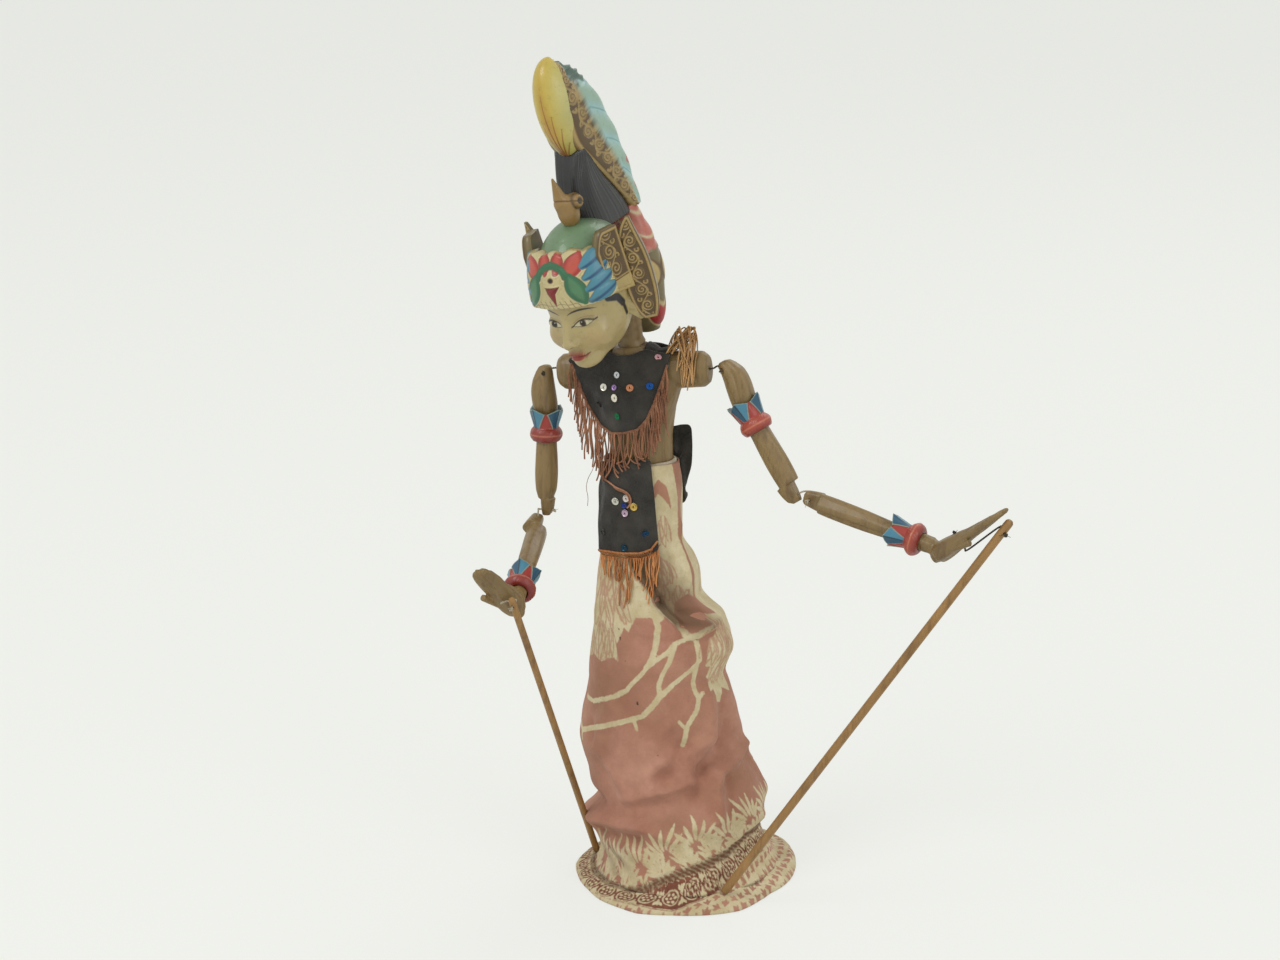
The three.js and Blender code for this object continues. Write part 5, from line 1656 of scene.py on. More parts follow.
def headPaint(x, y, z):
    f = faceShape
    ax, front = np.abs(x), y < -32
    rgb = plainPaint(x, (208, 192, 150))
    cheek = np.hypot((ax - 16) / 9, (z - 21) / 7)
    rgb = rgb * (1 - 0.12 * np.exp(-(cheek**2))[..., None] * np.array([0.1, 0.5, 0.6]) * front[..., None])
    far = np.where(front, 0, 9)
    u = (ax - f["eyeApart"]) / 7
    mid = f["eye"] + 0.9 * u
    upper, lower = mid + 2.7 * (1 - u**2), mid - 1.9 * (1 - u**2)
    lid = np.maximum(np.maximum(z - upper, lower - z), (np.abs(u) - 1) * 7)
    rgb = layPaint(rgb, lid + far, (238, 232, 214))
    iris = np.hypot(ax - f["eyeApart"], z - f["eye"] - 0.3) - 2.35
    rgb = layPaint(rgb, np.maximum(iris, lid) + far, (58, 40, 28))
    rgb = layPaint(rgb, np.maximum(iris + 1.3, lid) + far, (16, 13, 12))
    # a small white dot in each eye: painted highlight
    rgb = layPaint(
        rgb, np.hypot(ax - f["eyeApart"] + 0.8, z - f["eye"] - 1.2) - 0.4 + far, (238, 236, 228), 0.2,
    )
    above = np.where(np.abs(u) < 1.12, np.abs(z - mid - 2.7 * (1 - np.clip(u, -1, 1) ** 2)) - 0.42, 9)
    below = np.where(np.abs(u) < 1, np.abs(z - lower) - 0.14, 9)
    rgb = layPaint(rgb, np.minimum(above, below) + far, (34, 26, 22), 0.22)
    fold = np.where(np.abs(u) < 0.95, np.abs(z - upper - 1.5) - 0.1, 9)
    rgb = layPaint(rgb, fold + far, (150, 112, 78), 0.25)
    v = (ax - 11.5) / 8.6
    brow = np.where(
        np.abs(v) < 1, np.abs(z - f["brow"] - 1.4 - 2.4 * (1 - v**2)) - 0.62 * (1 - np.abs(v) ** 2.5), 9,
    )
    rgb = layPaint(rgb, brow + far, (38, 30, 26), 0.25)
    w = np.clip(ax / 8, 0, 1)
    line = f["mouth"] + 0.5 * w**2
    top = line + 2.5 * (1 - w**1.6) * (1 - 0.28 * np.exp(-((ax / 1.3) ** 2)))
    low = line - 2.9 * (1 - w**2)
    lips = np.maximum(np.maximum(z - top, low - z), ax - 8)
    rgb = layPaint(rgb, lips + far, (176, 62, 54), 0.3)
    rgb = layPaint(rgb, np.where(ax < 8.3, np.abs(z - line) - 0.2, 9) + far, (66, 24, 22), 0.22)
    # dark brown spots at the nostrils under the nose: painted shade
    rgb = layPaint(rgb, np.hypot(ax - 2.7, (z - f["nose"]) * 1.4) - 0.8 + far, (96, 66, 46), 0.5)
    lock = [(-43, 43, 2.1), (-36, 40, 2.4), (-32, 34, 2.3), (-29, 25, 1.3)]
    burn = np.where(ax > 18, 0, 9) + np.minimum.reduce([
        toSegment(y, z, a[:2], b[:2])[0] - b[2]
        for a, b in zip(lock, lock[1:])
    ])
    rgb = layPaint(rgb, burn, (40, 44, 56), 0.4)
    rgb = layPaint(rgb, -y - 17 + 0.25 * (z - 30) - 9 * (z < 8), (44, 43, 44), 0.5)
    return rgb


def buildHead():
    grid = blobGrid((0, -26, 40), headField, headShape["rows"], headShape["around"], 70)
    rgb = headPaint(*np.moveaxis(grid, -1, 0))
    piece = loftPiece("headCarved", grid, rgb, headPoint, "head", ["head"])
    turn = np.linspace(0, 2 * np.pi, 64, endpoint=False)
    rings = []
    for z in np.linspace(neckShape["foot"], 26, 60):
        foot = 1.4 * max(0, 1 - (z - neckShape["foot"]) / 4) ** 2
        radius = neckShape["radius"] + foot + 0.12 * math.sin(z * 1.1)
        along = figureNeck(z)
        rings.append([(along[0] + radius * math.cos(a), along[1] + radius * math.sin(a), z) for a in turn])
    loftPiece("neckWood", np.array(rings), None, headPoint, "head", (), varnishedWood)
    return piece


def figureNeck(z):
    # the neck's middle line is the figure's own upright line, seen from the head's frame
    base = headFrame.inverted() @ figurePoint(0, 0, figurePose["neckTop"])
    up = headFrame.inverted().to_3x3() @ (figureFrame.to_3x3() @ Vector((0, 0, 1)))
    return [base[k] / mm + up[k] / up[2] * z for k in range(2)]


buildHead()


# Cap


def buildCap():
    rim = 64
    turn = np.linspace(0, 2 * np.pi, 260, endpoint=False)
    rows, colors = [], []
    for share in np.linspace(0, 1, 90):
        z = rim + (91.4 - rim) * math.sin(share * math.pi / 2)
        level = math.sqrt(max(1 - ((z - 46) / 45.5) ** 2, 0.0004))
        groove = 0.35 * np.exp(-(((z - 71) / 0.7) ** 2)) + 0.2 * np.exp(-(((z - 85) / 0.5) ** 2))
        wave = 0.25 * np.sin(turn * 5 + z * 0.1)
        x, y = (30.9 * level - groove + wave) * np.cos(turn), -25 + (
            39.4 * level - groove + wave
        ) * np.sin(turn)
        rows.append(np.stack([x, y, np.full_like(x, z)], axis=-1))
        tone = plainPaint(x, (121, 156, 129))
        tone = layPaint(tone, np.full_like(x, abs(z - 71) - 0.6), (74, 96, 84), 0.6)
        # the cap darker and greyer towards its rear: painted shade
        tone = layPaint(tone, 30 - y - 1.2 * (z - 60) - 12 * np.sin(turn * 3), (96, 112, 98), 9)
        colors.append(tone)
    return loftPiece("capCarved", np.array(rows), np.array(colors), headPoint, "head", ["cap"])


buildCap()


# Diadem

diademShape = {"spread": 66, "bottom": 46.5, "rows": 140, "cols": 310, "thickness": 2.6}


def diademTop(s):
    lobes = np.abs(np.sin(s * 7.2 + 1.57)) * 1.6
    return 33.5 - 4 * np.abs(s) ** 3 + lobes


def diademPaint(x, h):
    # returns the colours and the carved height on the band, x sideways and h upward in mm
    ax = np.abs(x)
    cream, red, green = (226, 214, 176), (190, 62, 62), (58, 124, 96)
    rgb = plainPaint(x, cream)
    lift = np.zeros_like(x)
    petals = np.full_like(x, 9.0)
    for root, tip, width in (((3.6, 24.5), (5.6, 36), 8.6), ((9, 21), (19.5, 33), 10.5)):
        petals = np.minimum(petals, toLeaf(ax, h, root, tip, width))
    rgb = layPaint(rgb, petals, red)
    rgb = layPaint(rgb, petals + 2.1, (216, 96, 88), 0.9)
    arch = np.maximum(np.abs(np.hypot(x, (h - 18.5) * 0.94) - 9.3) - 2.1, 19.5 - h)
    rgb = layPaint(rgb, arch, green)
    feathers = toLeaf(ax, h, (10.5, 21), (15.5, 2.5), 10)
    rgb = layPaint(rgb, feathers, green)
    rgb = layPaint(rgb, feathers + 2.4, (92, 150, 118), 0.8)
    blue = np.full_like(x, 9.0)
    for k in range(4):
        one = toLeaf(ax, h, (19, 3 + 7.4 * k), (33.5, 7.5 + 7.8 * k), 9.6)
        blue = np.minimum(blue, one)
        stripe = np.abs((h - 3 - 7.4 * k) - (ax - 19) * 0.34 + 1.6) - 0.9
        rgb = layPaint(rgb, one, (84, 156, 200))
        rgb = layPaint(rgb, np.maximum(one + 0.5, stripe), (34, 92, 150), 0.5)
    head = np.hypot(x, (h - 19.5) * 0.9) - 5.6
    beak = toPolygon(x, h, [(-4, 15.5), (4.2, 15.5), (1.2, 11), (0.6, 2.5), (-0.8, 6.5), (-3, 11.5)])
    rgb = layPaint(rgb, beak, (150, 36, 44))
    rgb = layPaint(rgb, np.hypot(x - 0.4, h - 20.2) - 1.7, (120, 90, 60))
    rgb = layPaint(rgb, np.hypot(x - 0.4, h - 20.2) - 1.1, (24, 20, 20))
    hatch = np.where((h < 6) & (ax < 17), np.abs((x * 0.9 + h * 0.25) % 2.6 - 1.3) - 0.12, 9)
    hatch = np.minimum(hatch, np.where(ax < 22, np.abs(h - 3.4 - 0.5 * np.sin(x * 0.6)) - 0.12, 9))
    rgb = layPaint(rgb, np.where(np.minimum(beak, feathers) < 0.4, 9, hatch), (110, 92, 66), 0.2)
    shapes = np.minimum.reduce([petals, arch, feathers, blue, beak])
    lift += 0.75 * np.exp(-((shapes - 0.7) ** 2) / 0.5) + 0.45 * np.clip(-shapes / 2.5, 0, 1)
    lift += 1.9 * np.clip(-head / 3, 0, 1) ** 0.6 + 1.1 * np.clip(-beak / 1.6, 0, 1)
    rgb = rgb * np.clip(0.72 + 0.28 * np.clip(np.abs(shapes) / 0.35, 0, 1), 0, 1)[..., None]
    return rgb, lift


def buildDiadem():
    d = diademShape
    s = np.linspace(-1, 1, d["cols"])[None, :]
    t = np.linspace(0, 1, d["rows"])[:, None]
    h = t * diademTop(s)
    angle = np.radians(s * d["spread"]) + 0 * h
    wide, deep = 35.5 - 6 * (h / 35) ** 1.5, 40.6 - 11.4 * (h / 35) ** 2.1
    power = 2.5
    reach = (
        (np.abs(np.sin(angle)) / wide) ** power + (np.abs(np.cos(angle)) / deep) ** power
    ) ** (-1 / power)
    rgb, lift = diademPaint(s * 34 + 0 * h, h)
    edge = np.minimum(np.minimum(h, diademTop(s) - h), (1 - np.abs(s)) * 34)
    lift = lift - 1.1 * np.clip(1 - edge / 1.2, 0, 1) ** 2

    def at(radius):
        return np.stack([radius * np.sin(angle), -25 - radius * np.cos(angle), d["bottom"] + h], axis=-1)

    under = np.clip(h / 35, 0, 1) * 5
    front, back = at(reach + lift), at(reach - d["thickness"] - under)
    platePiece("diademCarved", front, back, rgb, (196, 180, 138), headPoint, "head", ["diadem"])


buildDiadem()
print("head, cap and diadem made")


# Crest, hair and finial

crestFront = [(6, 188), (-1, 178), (-5.6, 160), (-6.4, 139), (0.6, 125), (17, 98), (30, 75)]
crestBack = [(12, 189), (24, 176), (36, 149), (42, 118), (42.8, 92), (42, 82), (41, 73)]
crestShape = {"rows": 200, "around": 310, "halfWidth": 13.5}


def linePoints(table, count):
    # evenly spaced points on a smooth open line
    return alongLine(curveThrough(table, 14), np.linspace(0, 1, count))


def blendLines(a, b, share):
    # rows of points from line a at 0 to line b at 1
    return [a[:, None, k] * (1 - share) + b[:, None, k] * share for k in range(2)]


def buildCrestShell():
    c = crestShape
    front, back = linePoints(crestFront, c["rows"])[::-1], linePoints(crestBack, c["rows"])[::-1]
    turn = np.linspace(0, 2 * np.pi, c["around"], endpoint=False)[None, :]
    t = np.linspace(0, 1, c["rows"])[:, None]
    ease = 1 - 0.3 * np.clip((t - 0.72) / 0.28, 0, 1) - 0.3 * np.clip((t - 0.92) / 0.08, 0, 1) ** 2
    cos, sin = np.cos(turn), np.sin(turn)
    w = 0.5 + 0.5 * np.sign(cos) * np.abs(cos) ** 0.36
    half = c["halfWidth"] * ease * (1 - 0.12 * np.clip((w - 0.6) / 0.4, 0, 1))
    x = half * np.sign(sin) * np.abs(sin) ** 0.3
    y, z = blendLines(front, back, w)
    grid = np.stack([x, y, z], axis=-1)
    length = np.hypot(*(back - front).T)[:, None] * np.ones_like(w)
    along = t * 128
    across = w * length
    split = 0.42 + 0.12 * np.sin(np.pi * t) + 0.03 * np.sin(along * 0.31)
    split = split - 0.08 * np.clip((t - 0.7) / 0.1, 0, 1)
    step = (split - w) * length
    gilded = scroll(across - length * split * 0.56, along, 13.5, 5.2) - 0.85
    rim = np.minimum(np.abs(across - 1.2), np.abs(step - 0.6)) - 0.7
    carved = np.clip(0.55 - np.minimum(gilded, rim) * 0.9, 0, 1)
    lumps = np.clip((along - 100) / 6, 0, 1) * np.abs(np.sin(along * 0.42)) * 1.6
    blueLift = 1.7 + 0.5 * np.cos(((along + 26 * w**2) % 27 - 13) / 13 * np.pi) + lumps
    onBlue = np.clip(0.5 - step / 0.5, 0, 1)
    lift = carved * 1.0 * (1 - onBlue) + blueLift * onBlue
    side = np.clip(np.abs(x) / half - 0.8, 0, 0.2) * 5
    lift = np.where(w < 0.5, lift * side, lift)
    grid = grid + gridNormals(grid, True) * (lift - 0.9)[..., None]
    rgb = giltPaint(carved, 0.8)
    sky = plainPaint(w, (178, 226, 250))
    sky = layPaint(sky, np.abs((along + 26 * w**2) % 27 - 13) - 0.3, (104, 160, 176), 0.9)
    sky = layPaint(sky, 5.5 - np.abs((along + 26 * w**2) % 27 - 13), (176, 214, 216), 4)
    pink = np.where((along < 46) & (along > 4), 0.9 * (0.97 - w) * length + 4.5 * np.sin(along * 0.33), 9)
    sky = layPaint(sky, pink, (212, 120, 116), 0.6)
    sky = layPaint(sky, 104 - along + 2 * np.sin(w * 20), (98, 128, 130), 1.2)
    rgb = rgb * (1 - onBlue[..., None]) + sky * onBlue[..., None]
    loftPiece("crestCarved", grid, rgb, headPoint, "head", ["crest_shell"])


def buildDome():
    def field(x, y, z):
        body = blob(x, y, z, 0, 4, 158, 14.6, 20, 35.5)
        edge = np.interp(z, [row[1] for row in crestFront[::-1]], [row[0] for row in crestFront[::-1]])
        return np.maximum(body, y - edge - 1.2)

    grid = blobGrid((0, -8, 156), field, 150, 200, 45)
    x, y, z = np.moveaxis(grid, -1, 0)
    foot = z - 124
    lines = np.full_like(x, 9.0)
    for slope, bend, reach in (
        (0, 0.02, 50), (-0.16, 0.5, 34), (0.16, -0.5, 36), (-0.36, 1.2, 24), (0.36, -1.2, 26),
        (0.62, -1.6, 15), (-0.62, 1.6, 14),
    ):
        at = slope * foot - slope * foot**2 / 190 + bend * 0.3
        lines = np.minimum(
            lines, np.where((foot < reach) & (foot > 0), np.abs(x - at) - 0.5 * (1 - foot / reach), 9),
        )
    rgb = plainPaint(x, (226, 202, 104))
    rgb = layPaint(rgb, 9.5 - np.abs(x) - 0.02 * foot, (222, 220, 164), 4.5)
    rgb = layPaint(rgb, foot - 13, (196, 194, 128), 9)
    rgb = layPaint(rgb, np.abs(x - 0.4) + np.abs(foot - 26) * 0.12 - 3.4, (216, 170, 78), 3)
    rgb = layPaint(rgb, lines, (138, 70, 32), 0.4)
    groove = 0.3 * np.exp(-np.clip(lines, 0, 9) ** 2) * (y < 2)
    grid = grid - gridNormals(grid, True) * groove[..., None]
    loftPiece("domeCarved", grid, rgb, headPoint, "head", ["crest_dome"])


def buildHair():
    front = linePoints([(-19, 78), (-20, 90), (-19, 103), (-14.5, 117), (-6.5, 129.5), (-1, 133)], 130)
    back = linePoints([(33, 72), (31, 82), (24, 94), (14, 108), (5, 124), (1, 133)], 130)
    turn = np.linspace(0, 2 * np.pi, 260, endpoint=False)[None, :]
    cos, sin = np.cos(turn), np.sin(turn)
    w = 0.5 + 0.5 * np.sign(cos) * np.abs(cos) ** 0.75
    strand = 0.05 * np.sin(turn * 46) + 0.04 * np.sin(turn * 71 + 1) + 0.25 * np.sin(turn * 7 + 0.6)
    x = (12.4 + strand) * np.sign(sin) * np.abs(sin) ** 0.6
    y, z = blendLines(front, back, w)
    y = y + strand * cos
    loftPiece(
        "hairCarved", np.stack([x + 0 * y, y, z], axis=-1), None, headPoint, "head", ["crest_hair"],
        hairPaint,
    )


def buildFinial():
    def field(x, y, z):
        body = blob(x, y, z, 3.4, -27.2, 98.5, 7.2, 7.6, 11)
        body = join(body, rod(x, y, z, (2.2, -29.5, 106), (2.6, -31.5, 123.5), 5.4, 0.8), 3)
        body = join(body, blob(x, y, z, 7.8, -24, 104, 5.6, 6.4, 5.8), 2)
        ring = np.abs(np.hypot(y + 24.5, z - 104.5) - 3.3) - 0.35
        near = np.where(np.abs(x - 3) > 3, 0, 9)
        body = body - 0.6 * np.exp(-np.clip(ring + near, 0, 9) ** 2 * 3)
        return body + 0.25 * np.exp(-((np.abs(z - 107 + 0.5 * (y + 30)) / 0.5) ** 2))

    grid = blobGrid((3, -28, 102), field, 150, 200, 34)
    x, y, z = np.moveaxis(grid, -1, 0)
    rgb = plainPaint(x, (168, 136, 88))
    rgb = layPaint(
        rgb, np.hypot(y + 24.5, z - 104.5) - 2.1 + np.where(np.abs(x - 3) > 3, 0, 9), (52, 42, 30), 0.5,
    )
    rgb = layPaint(
        rgb, np.abs(np.hypot(y + 24.5, z - 104.5) - 4.9) - 0.4 + np.where(np.abs(x - 3) > 2, 0, 9),
        (86, 66, 40), 0.5,
    )
    rgb = layPaint(rgb, np.abs(z - 107 + 0.5 * (y + 30)) - 0.4, (92, 70, 42), 0.5)
    loftPiece("finialCarved", grid, rgb, headPoint, "head", ["bird_finial"])


buildCrestShell()
buildDome()
buildHair()
buildFinial()
print("crest made")


# Ear wings, ear panels and the nape

wingShape = {"rows": 212, "cols": 78, "thickness": 3.6, "bow": 1.6}
wingLeft = [(-5, 0), (-8.6, 8), (-10, 20), (-9.8, 34), (-8.8, 46), (-6.2, 57), (-2.2, 65), (3, 71)]
wingRight = [(4, -1), (7.6, 8), (9.6, 20), (10.2, 36), (9.4, 48), (8, 56), (6.6, 64), (5.6, 71)]


def besideHead(side, origin, degrees, px, py, pz):
    # a point of a mirrored plate whose origin is beside the head, turned out by degrees
    turn = math.radians(side * degrees)
    cos, sin = math.cos(turn), math.sin(turn)
    x, y, z = origin
    return headPoint(side * x + px * side * cos - py * sin, y + px * side * sin + py * cos, z + pz)


def buildWing(side):
    w = wingShape
    left, right = linePoints(wingLeft, w["rows"]), linePoints(wingRight, w["rows"])
    u = np.linspace(0, 1, w["cols"])[None, :]
    x, z = blendLines(left, right, u)
    wide = (right[:, 0] - left[:, 0])[:, None]
    edge = np.minimum(np.minimum(u, 1 - u) * wide, np.minimum(z + 1, 71 - z))
    border = np.clip(1 - np.abs(edge - 1.3) / 1.1, 0, 1) ** 0.5
    middle = (left[:, 0] + right[:, 0])[:, None] / 2
    lines = scroll(x - middle, z, 11.5, 4.3, 3) - 0.55
    inner = np.clip(0.5 - lines, 0, 1) * (edge > 2.6)
    height = np.maximum(border, inner * 0.85)
    depth = -w["thickness"] / 2 - 0.9 * height - w["bow"] * (1 - ((z - 34) / 36) ** 2) * 0.5
    thin = np.clip((77 - z) / 22, 0.4, 1)
    depth = depth * (0.4 + 0.6 * thin)
    back = w["thickness"] / 2 * thin + 0 * x

    def place(px, py, pz):
        return besideHead(side, (37, -20, 18), 25, px, py, pz)

    label = "left" if side > 0 else "right"
    front = np.stack([x, depth, z], axis=-1)
    rear = np.stack([x, back, z], axis=-1)
    rgb = giltPaint(height, 0.75)
    if side < 0:
        front, rear, rgb = front[:, ::-1], rear[:, ::-1], rgb[:, ::-1]
    platePiece(
        label + "EarWing", front, rear, rgb, gilt["edge"], place, "head", [label + "_ear_wing"],
    )


def buildEarPanel(side):
    rows, cols = 190, 90
    t, u = np.linspace(0, 1, rows)[:, None], np.linspace(0, 1, cols)[None, :]
    y = -11 + 22 * u + 0 * t
    top = 32 + 14 * np.sin(np.clip(u * 2.2, 0, 1) * np.pi / 2) - 2 * u
    z = (4 - 4 * u) * (1 - t) + top * t
    edge = np.minimum(np.minimum(u, 1 - u) * 22, np.minimum(z - 4 + 4 * u, top - z))
    border = np.clip(1 - np.abs(edge - 1.4) / 1.1, 0, 1) ** 0.5
    inner = np.clip(0.5 - (scroll(y + 0.5, z, 12.5, 5.4, 12) - 0.6), 0, 1) * (edge > 2.8) * (z > 11)
    bar = np.clip(1 - np.abs(z - 11.5) / 0.9, 0, 1)
    height = np.maximum.reduce([border, inner * 0.85, bar])
    out = 4 + 0.9 * height

    def place(px, py, pz):
        return besideHead(side, (28.5, -34, 42), -14, px, py, pz)

    label = "left" if side > 0 else "right"
    rgb = layPaint(giltPaint(height, 0.75), z - 10.2 + 0 * y, (212, 190, 138), 0.4)
    front, rear = np.stack([out, y, z], axis=-1), np.stack([-2.2 + 0 * y, y, z], axis=-1)
    if side < 0:
        front, rear, rgb = front[:, ::-1], rear[:, ::-1], rgb[:, ::-1]
    platePiece(
        label + "EarPanel", front, rear, rgb, gilt["edge"], place, "head", [label + "_ear_panel"],
    )


# height, half width, depth and middle of the nape ornament
napeRows = [
    (-12, 7, 5, 20), (-6, 12, 7.5, 21.5), (4, 16, 9, 23), (26, 21, 12, 25), (46, 22, 13, 26),
    (62, 18, 11, 28),
    (76, 11, 7, 31),
]


def buildNape():
    table = np.array(napeRows, float)
    turn = np.linspace(0, 2 * np.pi, 260, endpoint=False)[None, :]
    z = np.linspace(-12, 76, 224)[:, None]
    wide, deep, middle = (np.interp(z[:, 0], table[:, 0], table[:, k])[:, None] for k in (1, 2, 3))
    kernel = np.ones(25) / 25
    wide, deep, middle = (
        np.convolve(np.pad(c[:, 0], 12, mode="edge"), kernel, "valid")[:, None]
        for c in (wide, deep, middle)
    )
    cos, sin = np.cos(turn), np.sin(turn)
    arc = (turn % (2 * np.pi) - np.pi / 2) * wide
    ax = np.abs(cos) * wide
    feather = np.abs((z + 0.9 * ax) % 11 - 5.5)
    lift = 0.5 * np.cos(feather / 5.5 * np.pi) * (z > 44)
    oval = np.hypot((ax - 15) / 6.5, (z - 31) / 12.5) * 6.5 - 6.5
    lift = lift + 1.3 * np.clip(-oval / 3, 0, 1) ** 0.5
    leaf = toLeaf(ax + 0 * z, z + 0 * ax, (11, 14), (11, -9), 9)
    lift = lift + 0.9 * np.clip(-leaf / 2, 0, 1) ** 0.5
    points = np.stack([(wide + lift) * cos, middle + (deep + lift) * sin, z + 0 * cos], axis=-1)
    rgb = plainPaint(arc, (146, 136, 108))
    rgb = layPaint(rgb, 44 - z + 2 * np.sin(ax), (218, 132, 128), 0.6)
    rgb = layPaint(rgb, np.maximum(feather - 0.8, 45 - z), (236, 218, 196), 0.5)
    rgb = layPaint(rgb, 6.4 - sin * deep * 0.6 + 0 * z, (70, 78, 80), 0.9)
    rgb = layPaint(rgb, oval, (224, 200, 150), 0.5)
    rgb = layPaint(rgb, np.abs(oval + 0.2) - 0.4, (110, 84, 54), 0.3)
    rgb = layPaint(rgb, leaf, (196, 60, 66), 0.4)
    rgb = layPaint(rgb, np.abs(leaf - 0.7) - 0.7, (226, 206, 166), 0.3)
    loftPiece("napeCarved", points, rgb, headPoint, "head", ["nape_ornament"])


for side in (1, -1):
    buildWing(side)
    buildEarPanel(side)
buildNape()
print("ear wings, panels and nape made")


# Arms

armPlaces = {
    "left": {
        "shoulder": (64, 0, 362), "elbow": (109.2, -9.4, 276.5), "forearm": (119.3, -10.7, 273.9),
        "wrist": (205, -26, 247), "back": (0, 1, 0),
    },
    "right": {
        "shoulder": (-64, 0, 362), "elbow": (-73, -8, 266), "forearm": (-76.4, -13.8, 257.9),
        "wrist": (-61.6, -100.6, 231.6), "back": (0, 0, 1),
    },
}
# the ends of each hand, and how its rod's top lies from them
rodPlaces = {
    "left": {
        "heel": (208, -29, 241), "tip": (259, -34, 275), "foot": (45, -54.5, 9.2), "across": 0, "clear": 7.3,
        "along": -3, "back": (-0.8, 0.6, 0), "tie": 9,
    },
    "right": {
        "heel": (-59, -104, 225), "tip": (-70, -135, 264.5), "foot": (-62.8, -15.7, 9), "across": 9,
        "clear": 8.8, "along": -27, "back": (0, 1, 0), "tie": 6,
    },
}
# rows of height, half width, half depth, and the ring's middle across and back
leftUpper = [
    (-4.6, 2.4, 2.6, -1.2, 0), (-3.4, 4.6, 4.2, -2.4, 0), (0, 6.2, 5.6, -3.4, 0), (6, 8, 7.2, -4.4, 0),
    (14, 9, 8, -3.6, 0), (24, 8.8, 8.2, -1.6, 0), (31, 7.3, 7.3, 0, 0),
    (40, 7, 7, 0, 0), (50, 7, 7, 0, 0), (60, 7.6, 7.2, 0, 0), (72, 8, 7.4, 0, 0), (84, 7.6, 7, 0, 0),
    (94, 6.4, 6, 0.2, 0), (99, 5.2, 4.4, 0.4, 0), (101.6, 3.2, 2.6, 0.5, 0),
]
rightUpper = [
    (-4.6, 2.4, 2.6, 0, 0), (-3.4, 4.4, 4.2, 0.6, 0), (0, 5.8, 5.4, 1.2, 0), (6, 7.4, 7, 2, 0),
    (14, 8.6, 8, 2, 0), (24, 8.6, 8.2, 0.8, 0), (31, 7.3, 7.3, 0, 0),
    (40, 7, 7, 0, 0), (50, 7, 7, 0, 0), (60, 7.6, 7.2, 0, 0), (72, 7.9, 7.4, 0, 0), (82, 7.2, 6.8, 0, 0),
    (88, 5.2, 6, 0, 0), (96, 4.4, 4.6, 0, 0), (100.4, 2.8, 2.8, 0, 0),
]
forearmRows = [
    (-4.6, 3.4, 3.4, 0, 0), (-3.6, 5, 4.8, 0, 0), (2, 6, 5.8, 0, 0), (10, 6.9, 6.6, 0, 0),
    (22, 7.1, 6.8, 0, 0), (42, 6.8, 6.5, 0, 0), (60, 6, 5.9, 0, 0), (68, 5.8, 5.8, 0, 0),
    (85, 5.7, 5.7, 0, 0), (91, 5.5, 5.7, 0, 0),
]


def frameOf(x, y, z, origin):
    return Matrix([(x[k], y[k], z[k], origin[k]) for k in range(3)] + [(0, 0, 0, 1)])


def limbFrame(start, end, back):
    a, b = Vector(start), Vector(end)
    z = (b - a).normalized()
    back = Vector(back)
    y = (back - z * back.dot(z)).normalized()
    return frameOf(y.cross(z), y, z, a)


def armFrames(label):
    # frames of the upper arm, the forearm and the hand, and the lengths of the upper arm and the hand
    arm, tie = armPlaces[label], rodPlaces[label]
    upper = limbFrame(arm["shoulder"], arm["elbow"], (0, 1, 0))
    fore = limbFrame(arm["forearm"], arm["wrist"], arm["back"])
    reach = (Vector(arm["wrist"]) - Vector(arm["forearm"])).normalized()
    hand = limbFrame(tie["heel"], tie["tip"], -reach)
    lengths = [
        (Vector(b) - Vector(a)).length
        for a, b in ((arm["shoulder"], arm["elbow"]), (tie["heel"], tie["tip"]))
    ]
    return upper, fore, hand, lengths


def carvedLimb(rows, cuts, flutes, seed, end=None):
    # rings along z; a cut is (from, to, x, y, distance) and takes off what lies past a plane
    table = np.array(rows, float)
    last = table[-1, 0] if end is None else end
    z = np.arange(table[0, 0], last + 0.01, 0.5)
    shape = -smoothTable(np.c_[-table[:, 0], -table[:, 1:]], -z)
    turn = np.linspace(0, 2 * np.pi, 96, endpoint=False)
    ring = []
    for height, (rx, ry, cx, cy) in zip(z, shape):
        for start, stop, nx, ny, limit in cuts:
            if start <= height <= stop:
                shift = max(rx * abs(nx) + ry * abs(ny) - limit, 0) * 0.5
                cx, cy = cx - nx * shift, cy - ny * shift
        radius = 1 / np.sqrt((np.cos(turn) / rx) ** 2 + (np.sin(turn) / ry) ** 2)
        facet = 0.28 * np.sin(5 * turn + seed + 0.03 * height)
        facet = facet + 0.2 * np.sin(3 * turn - 0.05 * height + 2 * seed)
        radius = radius + facet * min(1, rx / 6)
        for place, slope, start, stop, depth in flutes:
            near = ((np.degrees(turn) - place - slope * (height - start) + 180) % 360 - 180) / 9
            fade = np.clip(min(height - start, stop - height) / 5, 0, 1)
            radius = radius - depth * fade * np.exp(-(near**2))
        x, y = cx + radius * np.cos(turn), cy + radius * np.sin(turn)
        for start, stop, nx, ny, limit in cuts:
            if start <= height <= stop:
                past = np.maximum(x * nx + y * ny - limit, 0)
                x, y = x - nx * past, y - ny * past
        ring.append(np.stack([x, y, np.full_like(x, height)], axis=-1))
    return np.array(ring)


def meshOf(name, grid, place):
    rows, around = grid.shape[:2]
    low, high, last = rows * around, rows * around + 1, (rows - 1) * around
    faces = gridFaces(rows, around)
    for i in range(around):
        faces += [(low, (i + 1) % around, i), (high, last + i, last + (i + 1) % around)]
    points = list(grid.reshape(-1, 3)) + [grid[0].mean(axis=0), grid[-1].mean(axis=0)]
    mesh = bpy.data.meshes.new(name)
    mesh.from_pydata([tuple(place @ Vector(p)) for p in points], [], faces)
    return mesh


